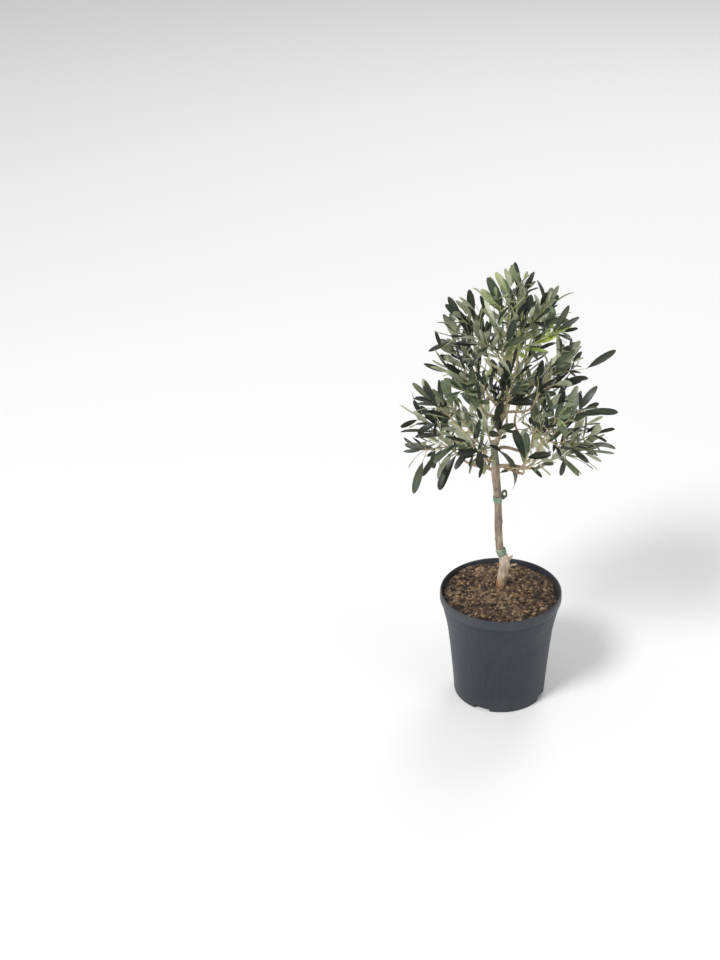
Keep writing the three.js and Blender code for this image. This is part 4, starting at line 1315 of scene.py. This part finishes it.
def make_tie(name, rings, choice, node):
    """Closed bands as one mesh, each a grid that closes both ways; choice picks each band's tape."""
    starts = np.cumsum([0] + [ring.shape[0] * ring.shape[1] for ring in rings])
    faces = [
        grid_faces(*ring.shape[:2], closed_rows=True)[:, ::-1] + start
        for ring, start in zip(rings, starts)
    ]
    points = np.vstack([ring.reshape(-1, 3) for ring in rings])
    place(make_piece(name, points, faces, tapes, choice), "tie_tape", node)


lower = [wrap(244.5, 7, 0.9, 0.7, 0.8, 0.5, 21), wrap(248, 6, 0.9, 1.1, -1.0, 1.8, 23)]
make_tie("lower_tie_tape", lower, [0, 0], "tie_lower")
upper = [wrap(339, 5.5, 0.8, 0.55, 0.7, 2.5, 31), wrap(342.5, 5.5, 0.8, 0.9, -0.9, 0.9, 33)]
loop = upright_ring(56, (2.9, 12.6, 350), (3.2, 5.2), (3, 5), 0.6, 0.7)
knot = upright_ring(24, (1.8, 12.6, 343.2), (1.2, 1.6), (1.6, 4.2))
# The loop and the knot take the darker copy of the tape, painted in shade.
make_tie("upper_tie_tape", [*upper, loop, knot], [0, 0, 1, 1], "tie_upper")

# %% [markdown]
# ## Pot
#
# The pot is moulded plastic: a turned wall that flares below a rounded lip, and four drain slots
# at its foot. Its recipe adds faint draw lines, a painted highlight on the lip, dust and scuffs.

# %% Pot recipe
POT_COLORS = ("Body", "Light", "Lip Highlight", "Dust")
recipe = Recipe("pot_surface", {
    "Body": (0.07, 0.08, 0.09, 1), "Light": (0.12, 0.13, 0.14, 1),
    "Lip Highlight": (0.15, 0.16, 0.17, 1), "Dust": (0.2, 0.19, 0.17, 1),
})
body, light, lip_highlight, dust_color = (recipe.given[name] for name in POT_COLORS)
height = recipe.height()
draw_lines = recipe.grain(220, (1, 1, 0.035))
clouds = recipe.grain(22, (1, 1, 0.6))
specks = recipe.grain(900, detail=1)
scuffs = recipe.grain(70, (1, 1, 2.6), detail=5, roughness=0.7)
# Painted highlight: the lip's colour is lighter. The lip is also a little glossier.
lip = recipe.span(height, 0.167, 0.173)
wall = recipe.mix(recipe.span(recipe.add(draw_lines, clouds), 0.8, 1.25), body, light)
plastic = recipe.mix(recipe.times(lip, 0.6), wall, lip_highlight)
low_dust = recipe.span(height, 0.0, 0.03, 0.25, 0)
high_dust = recipe.times(recipe.span(height, 0.165, 0.18, 0, 0.3), recipe.span(clouds, 0.4, 0.65))
dust = recipe.math("MAXIMUM", low_dust, high_dust)
dust = recipe.add(dust, recipe.span(scuffs, 0.62, 0.78, 0, 0.45))
speckled = recipe.math("MINIMUM", recipe.add(dust, recipe.span(specks, 0.74, 0.8, 0, 0.3)), 0.6)
matt = recipe.add(recipe.span(clouds, 0.3, 0.7, 0.4, 0.52), recipe.times(dust, 0.4))
recipe.finish(
    recipe.mix(speckled, plastic, dust_color),
    recipe.minus(matt, recipe.times(lip, 0.14)),
    recipe.add(draw_lines, recipe.times(specks, 0.2)),
)
# The third colour is the lip's painted highlight.
rows = [("pot_plastic_grey", (43, 48, 56), (52, 57, 64), (62, 66, 74), (90, 88, 84), 0.1, 0.0004)]
pot_plastic = make_materials(recipe, POT_COLORS, rows, specular=0.3)[0]

# %% [markdown]
# The wall's profile runs from the underside up the outside, over the lip and down the inside.
# Smooth curves join the measured radii. Four blocks are added inside, as the slots' roofs, and
# four smaller ones are then cut out.

# %% Pot
OUTER = np.array([
    (72.3, 1.2), (74.2, 26), (76.2, 51), (79.2, 84), (81.3, 103), (82.9, 118),
    (84.7, 129), (86.3, 138), (88.4, 147), (90.4, 156.5), (92.2, 164), (93.1, 169.6),
])
LIP = np.array([
    (94.9, 170.6), (95.35, 172), (95.4, 177), (95.35, 181), (95.0, 183.6),
    (94.2, 185.4), (93.2, 186), (92.5, 185.2), (92.1, 183),
])
WALL = 2.3
FLOOR = 2
POT_SPOKES = 160
SLOT_TURN, SLOT_COUNT = -112, 4
ROOF_LIFT = 1.2
BLOCK_FACES = np.array([[0, 3, 2, 1], [4, 5, 6, 7], [0, 1, 5, 4], [1, 2, 6, 5], [2, 3, 7, 6], [3, 0, 4, 7]])


def turned(profile, spokes):
    """Points (rings, spokes, 3) of a profile of radii and heights that is turned about the pot's axis."""
    angle = full_turn(spokes)
    radius = profile[:, :1]
    heights = np.broadcast_to(profile[:, 1:], (len(profile), spokes))
    return np.stack([radius * np.cos(angle), radius * np.sin(angle), heights], -1)


outer = catmull(np.column_stack([OUTER, OUTER[:, :1]]), np.linspace(0, 1, 60))[:, :2]
inner = outer[::-3] - np.array([WALL, 0])
inner = inner[inner[:, 1] > 6]
foot, bottom = [(0.5, 0), (71.2, 0)], [(inner[-1, 0] - 0.2, FLOOR), (0.5, FLOOR)]
profile = np.vstack([foot, outer, LIP, inner, bottom])
pot_faces = closed_faces(1, len(profile), POT_SPOKES)
pot = make_piece("pot_wall", turned(profile, POT_SPOKES).reshape(-1, 3), pot_faces, [pot_plastic])


def drain_blocks(name, half_foot, half_top, top, inmost, outmost):
    """Four blocks round the pot's foot, each a trapezium seen from its side."""
    angle = np.radians(SLOT_TURN + 360 / SLOT_COUNT * np.arange(SLOT_COUNT))
    out = np.stack([np.cos(angle), np.sin(angle), 0 * angle], -1)
    beside = np.stack([-np.sin(angle), np.cos(angle), 0 * angle], -1)
    shape = [(-half_foot, -1), (half_foot, -1), (half_top, top), (-half_top, top)]
    reaches = (inmost, outmost)
    corners = [reach * out + wide * beside + high * UP for reach in reaches for wide, high in shape]
    faces = BLOCK_FACES[None] + 8 * np.arange(SLOT_COUNT)[:, None, None]
    points, faces = np.stack(corners, 1).reshape(-1, 3), [faces.reshape(-1, 4)]
    return make_piece(name, points, faces, [pot_plastic], smooth=False)


roofs = drain_blocks("drain_roofs", 16.5, 12.5, 10, 46, 69.8)
roofs.data.transform(Matrix.Translation((0, 0, ROOF_LIFT * MM)))
slots_cut = drain_blocks("drain_slots", 14.5, 10.5, 8, 48.3, 99)
for tool, operation in ((roofs, "UNION"), (slots_cut, "DIFFERENCE")):
    modifier = pot.modifiers.new(operation.lower(), "BOOLEAN")
    modifier.object, modifier.operation, modifier.solver = tool, operation, "EXACT"
bpy.context.view_layer.update()
cut_mesh = bpy.data.meshes.new_from_object(pot.evaluated_get(bpy.context.evaluated_depsgraph_get()))
pot.modifiers.clear()
pot.data = cut_mesh
cut_mesh.name = "pot_wall"
cut_mesh.set_sharp_from_angle(angle=math.radians(35))
for tool in (roofs, slots_cut):
    bpy.data.objects.remove(tool)
place(pot, "pot_plastic", "pot")

# %% [markdown]
# ## Soil
#
# The peat is a lumpy heap, a little higher at the stem and lower along the rim. Its surface is
# one disc of rings, moved up and down by noise of several sizes, and closed below.

# %% Soil recipe
SOIL_COLORS = ("Dark", "Middle", "Pale")
recipe = Recipe("soil_surface", {
    "Dark": (0.02, 0.015, 0.01, 1), "Middle": (0.08, 0.06, 0.04, 1), "Pale": (0.25, 0.2, 0.15, 1),
})
dark, middle, pale = (recipe.given[name] for name in SOIL_COLORS)
# Painted shade: the peat is darkened in the creases between its lumps and along the rim, most of all at the
# front.
hollow_shades = recipe.node("ShaderNodeAttribute", attribute_name="hollow_shade")["Fac"]
lumps = recipe.grain(120, detail=4, roughness=0.65)
bits = recipe.grain(380, roughness=0.6)
swathes = recipe.grain(26, detail=1)
fibres = recipe.grain(300, (1, 0.3, 1), detail=4, roughness=0.6)
mixed = recipe.mix(recipe.span(recipe.add(lumps, bits), 0.84, 1.14), dark, middle)
straws = recipe.span(recipe.times(lumps, fibres), 0.27, 0.38, 0, 0.85)
pale_share = recipe.add(straws, recipe.span(swathes, 0.48, 0.66, 0, 0.22))
paler = recipe.mix(recipe.math("MINIMUM", pale_share, 0.9), mixed, pale)
recipe.finish(
    recipe.mix(recipe.span(hollow_shades, 0.45, 0.95, 0, 0.85), paler, dark),
    recipe.span(bits, 0.3, 0.7, 0.85, 1.0),
    recipe.add(lumps, recipe.times(bits, 0.6)),
)
peat, chip_brown, chip_dark, grain_pale = make_materials(recipe, SOIL_COLORS, [
    ("peat_soil", (30, 18, 9), (103, 79, 59), (162, 139, 114), 0.9, 0.0014),
    ("chip_brown", (78, 60, 44), (132, 106, 80), (170, 146, 116), 0.5, 0.0006),
    ("chip_dark", (36, 26, 18), (66, 50, 36), (104, 84, 64), 0.5, 0.0006),
    ("grain_pale", (158, 147, 127), (196, 187, 168), (218, 211, 196), 0.3, 0.0004),
])

# %% [markdown]
# The disc of peat comes first. Rings run from its middle to the wall, and then down inside it.

# %% Soil
SOIL_SPOKES, SOIL_RINGS = 360, 140
SOIL_RADIUS = 91.6
BELOW = np.array([(88.2, 157), (83.8, 140), (80, 120), (75, 70), (70, 13), (0.5, 13)])
TRUNK_FOOT = (-1.0, 17)


def crumbs(x, y):
    """The peat's own unevenness, as two numbers: broad swells, and lumps of four sizes.

    All lumps but the smallest are round above and creased between.
    """
    flat = np.stack([x, y, 0 * x], -1)
    lumps = 0.3 * noise(flat, 1.4, 45)
    for height, size, seed in ((3, 11, 42), (1.8, 6, 43), (0.6, 2.8, 44)):
        lumps = lumps + height * (0.4 - np.abs(noise(flat, size, seed)))
    return 1.6 * noise(flat, 19, 41), lumps


def from_trunk(x, y):
    """How far a point lies from the middle of the trunk's foot."""
    return np.hypot(x - TRUNK_FOOT[0], y - TRUNK_FOOT[1])


def soil_height(x, y):
    """The peat's surface: a low mound round the stem, its crumbs, a dip at the rim and two pits."""
    away, slope = from_trunk(x, y), y / 90
    mound = 177.5 + 5.6 * np.exp(-((away / 30) ** 2)) - 1.2 * (x / 90) + 2 * slope
    dip = (4.5 - 2.5 * slope) * np.clip((np.hypot(x, y) - 81) / 10.5, 0, 1) ** 2
    right_pit = 5.5 * np.exp(-(((x - 84) / 11) ** 2) - ((y - 8) / 17) ** 2)
    stem_pit = 3 * np.exp(-((x - 11) ** 2 + (y - 12) ** 2) / 20)
    swells, lumps = crumbs(x, y)
    return mound + (swells + lumps) * np.clip(away / 16, 0.35, 1) - dip - right_pit - stem_pit


distance = np.concatenate([np.linspace(0.5, SOIL_RADIUS, SOIL_RINGS), BELOW[:, 0]])[:, None]
soil_points = turned(np.column_stack([distance, 0 * distance]), SOIL_SPOKES)
soil_x, soil_y = soil_points[..., 0], soil_points[..., 1]
soil_points[..., 2] = soil_height(soil_x, soil_y)
soil_points[SOIL_RINGS:, :, 2] = BELOW[:, 1:]
soil_faces = [block[:, ::-1] for block in closed_faces(1, len(distance), SOIL_SPOKES)]
soil_piece = make_piece("peat_mound", soil_points.reshape(-1, 3), soil_faces, [peat])
# Painted shade along the rim, strongest at the front, and in the creases between the crumbs.
shaded = 0.7 * np.clip((distance - 74 - 0.12 * soil_y) / 14, 0, 1)
hollow_shade = np.clip(0.5 - 0.55 * crumbs(soil_x, soil_y)[1] + shaded, 0, 1).astype(np.float32)
keep_values(soil_piece, "hollow_shade", "FLOAT", "POINT", "value", hollow_shade.ravel())
place(soil_piece, "peat", "soil")

# %% [markdown]
# The chips, crumbs, grains and fibres are small rough bodies scattered over the peat. Each has
# its own fixed numbers for its place, size and turn, and it lies at the height of the peat. They
# keep off the stem and off the rim, most of all off the front rim, where the peat holds painted shade.

# %% Chips and grains
CHIP_KINDS = [  # name, count, size in mm, smallest and largest scale, seed, materials
    ("bark_chips", 260, (3.4, 1.9, 0.9), (0.6, 1.8), 51, [chip_brown, chip_dark, chip_brown]),
    ("peat_crumbs", 420, (2.6, 2.2, 1.6), (0.4, 1.8), 52, [peat, chip_brown, chip_dark, peat]),
    ("pale_grains", 40, (1.2, 1.0, 0.9), (0.5, 1.5), 53, [grain_pale]),
    ("root_fibres", 110, (6.5, 0.4, 0.35), (0.5, 1.5), 54, [chip_brown]),
]
SCATTER_RADIUS, STEM_CLEARANCE = 85, 11
RIM_RADIUS, RIM_LEAN = 81, 0.06
# A lump of twenty faces: a point above, two rings of five and a point below.
LUMP = np.array([
    (0, 0, 1),
    (0.9, 0, 0.45), (0.28, 0.85, 0.45), (-0.72, 0.53, 0.45), (-0.72, -0.53, 0.45), (0.28, -0.85, 0.45),
    (0.72, 0.53, -0.45), (-0.28, 0.85, -0.45), (-0.9, 0, -0.45), (-0.28, -0.85, -0.45), (0.72, -0.53, -0.45),
    (0, 0, -1),
])
around = [(k, (k + 1) % 5) for k in range(5)]
LUMP_FACES = np.array(
    [(0, 1 + a, 1 + b) for a, b in around] + [(1 + a, 6 + a, 1 + b) for a, b in around]
    + [(1 + b, 6 + a, 6 + b) for a, b in around] + [(6 + a, 11, 6 + b) for a, b in around]
)


def drawn(count, column, seed):
    """A column of fixed numbers from 0 to 1."""
    cells = np.stack([np.arange(count), np.full(count, column), np.full(count, seed)], -1)
    return (lattice(cells, seed) + 1) / 2


def rotated(first, second, angle):
    """Two coordinates turned by an angle."""
    return (
        first * np.cos(angle) - second * np.sin(angle),
        first * np.sin(angle) + second * np.cos(angle),
    )


def scatter(name, count, size, scale, seed, materials):
    """Small rough bodies that lie on the peat, each turned and sized by its own numbers."""
    radius = SCATTER_RADIUS * np.sqrt(drawn(count, 1, seed))
    x, y = rotated(radius, 0, 2 * math.pi * drawn(count, 2, seed))
    keep = (from_trunk(x, y) > STEM_CLEARANCE) & (radius < RIM_RADIUS + RIM_LEAN * y)
    x, y, count = x[keep, None], y[keep, None], int(keep.sum())
    grow = scale[0] + (scale[1] - scale[0]) * drawn(count, 3, seed)[:, None]
    spin, lean = 2 * math.pi * drawn(count, 4, seed), 0.7 * (drawn(count, 5, seed) - 0.5)
    shape = LUMP[None] * np.array(size) * grow[..., None]
    rough = noise(LUMP[None] * 3 + np.arange(count)[:, None, None] * 7.3, 1.1, seed)
    long, wide, high = np.moveaxis(shape * (1 + 0.25 * rough[..., None]), -1, 0)
    high = high + long * np.sin(lean)[:, None]
    turned_x, turned_y = rotated(long * np.cos(lean)[:, None], wide, spin[:, None])
    height = soil_height(x, y) + 0.3 * size[2] * grow
    points = np.stack([turned_x + x, turned_y + y, high + height], -1)
    faces = LUMP_FACES[None] + len(LUMP) * np.arange(count)[:, None, None]
    picks = (drawn(count, 6, seed) * len(materials)).astype(int) % len(materials)
    slots = [np.repeat(picks, len(LUMP_FACES))]
    points, faces = points.reshape(-1, 3), [faces.reshape(-1, 3)]
    place(make_piece(name, points, faces, materials, slots, smooth=False), "peat")


for kind in CHIP_KINDS:
    scatter(*kind)

# %% [markdown]
# ## Floor and light
#
# A plain pale floor and soft light, as in a studio: one large lamp from the upper left in
# front, a weaker one from the right, one from behind, and a pale sky all round.

# %% Floor and light
FLOOR_SPAN = 6000
floor_material = bpy.data.materials.new("floor")
floor_material.use_nodes = True
floor_shader = floor_material.node_tree.nodes["Principled BSDF"].inputs
floor_shader["Base Color"].default_value = (0.86, 0.86, 0.86, 1)
floor_shader["Roughness"].default_value = 0.9
corners = [(-1, -1), (1, -1), (1, 1.5), (-1, 1.5)]
floor_points = [(FLOOR_SPAN * x, FLOOR_SPAN * y, -0.3) for x, y in corners]
floor = make_piece("floor", floor_points, [[(0, 1, 2, 3)]], [floor_material], smooth=False)

LIGHTS = [
    ("key", (-2.3, -2.7, 4.3), 1.6, 205),
    ("fill", (3.2, -2.0, 2.2), 2.4, 20),
    ("back", (1.0, 3.4, 3.6), 2.4, 60),
]
for name, where, size, power in LIGHTS:
    lamp_data = bpy.data.lights.new(name, "AREA")
    lamp_data.shape, lamp_data.size, lamp_data.energy = "DISK", size, power
    lamp = bpy.data.objects.new(name, lamp_data)
    back = unit(np.array(where) - np.array([0, 0, 0.4]))
    sideways = unit(np.cross(UP, back))
    axes = np.column_stack([sideways, np.cross(back, sideways), back])
    lamp.matrix_world = Matrix.Translation(where) @ Matrix(axes.tolist()).to_4x4()
    scene.collection.objects.link(lamp)
world = bpy.data.worlds.new("studio")
scene.world = world
world.use_nodes = True
sky = world.node_tree.nodes["Background"].inputs
sky["Color"].default_value = (1, 1, 1, 1)
sky["Strength"].default_value = 0.5
scene.view_settings.view_transform = "Standard"
print("lights:", [name for name, *_ in LIGHTS])
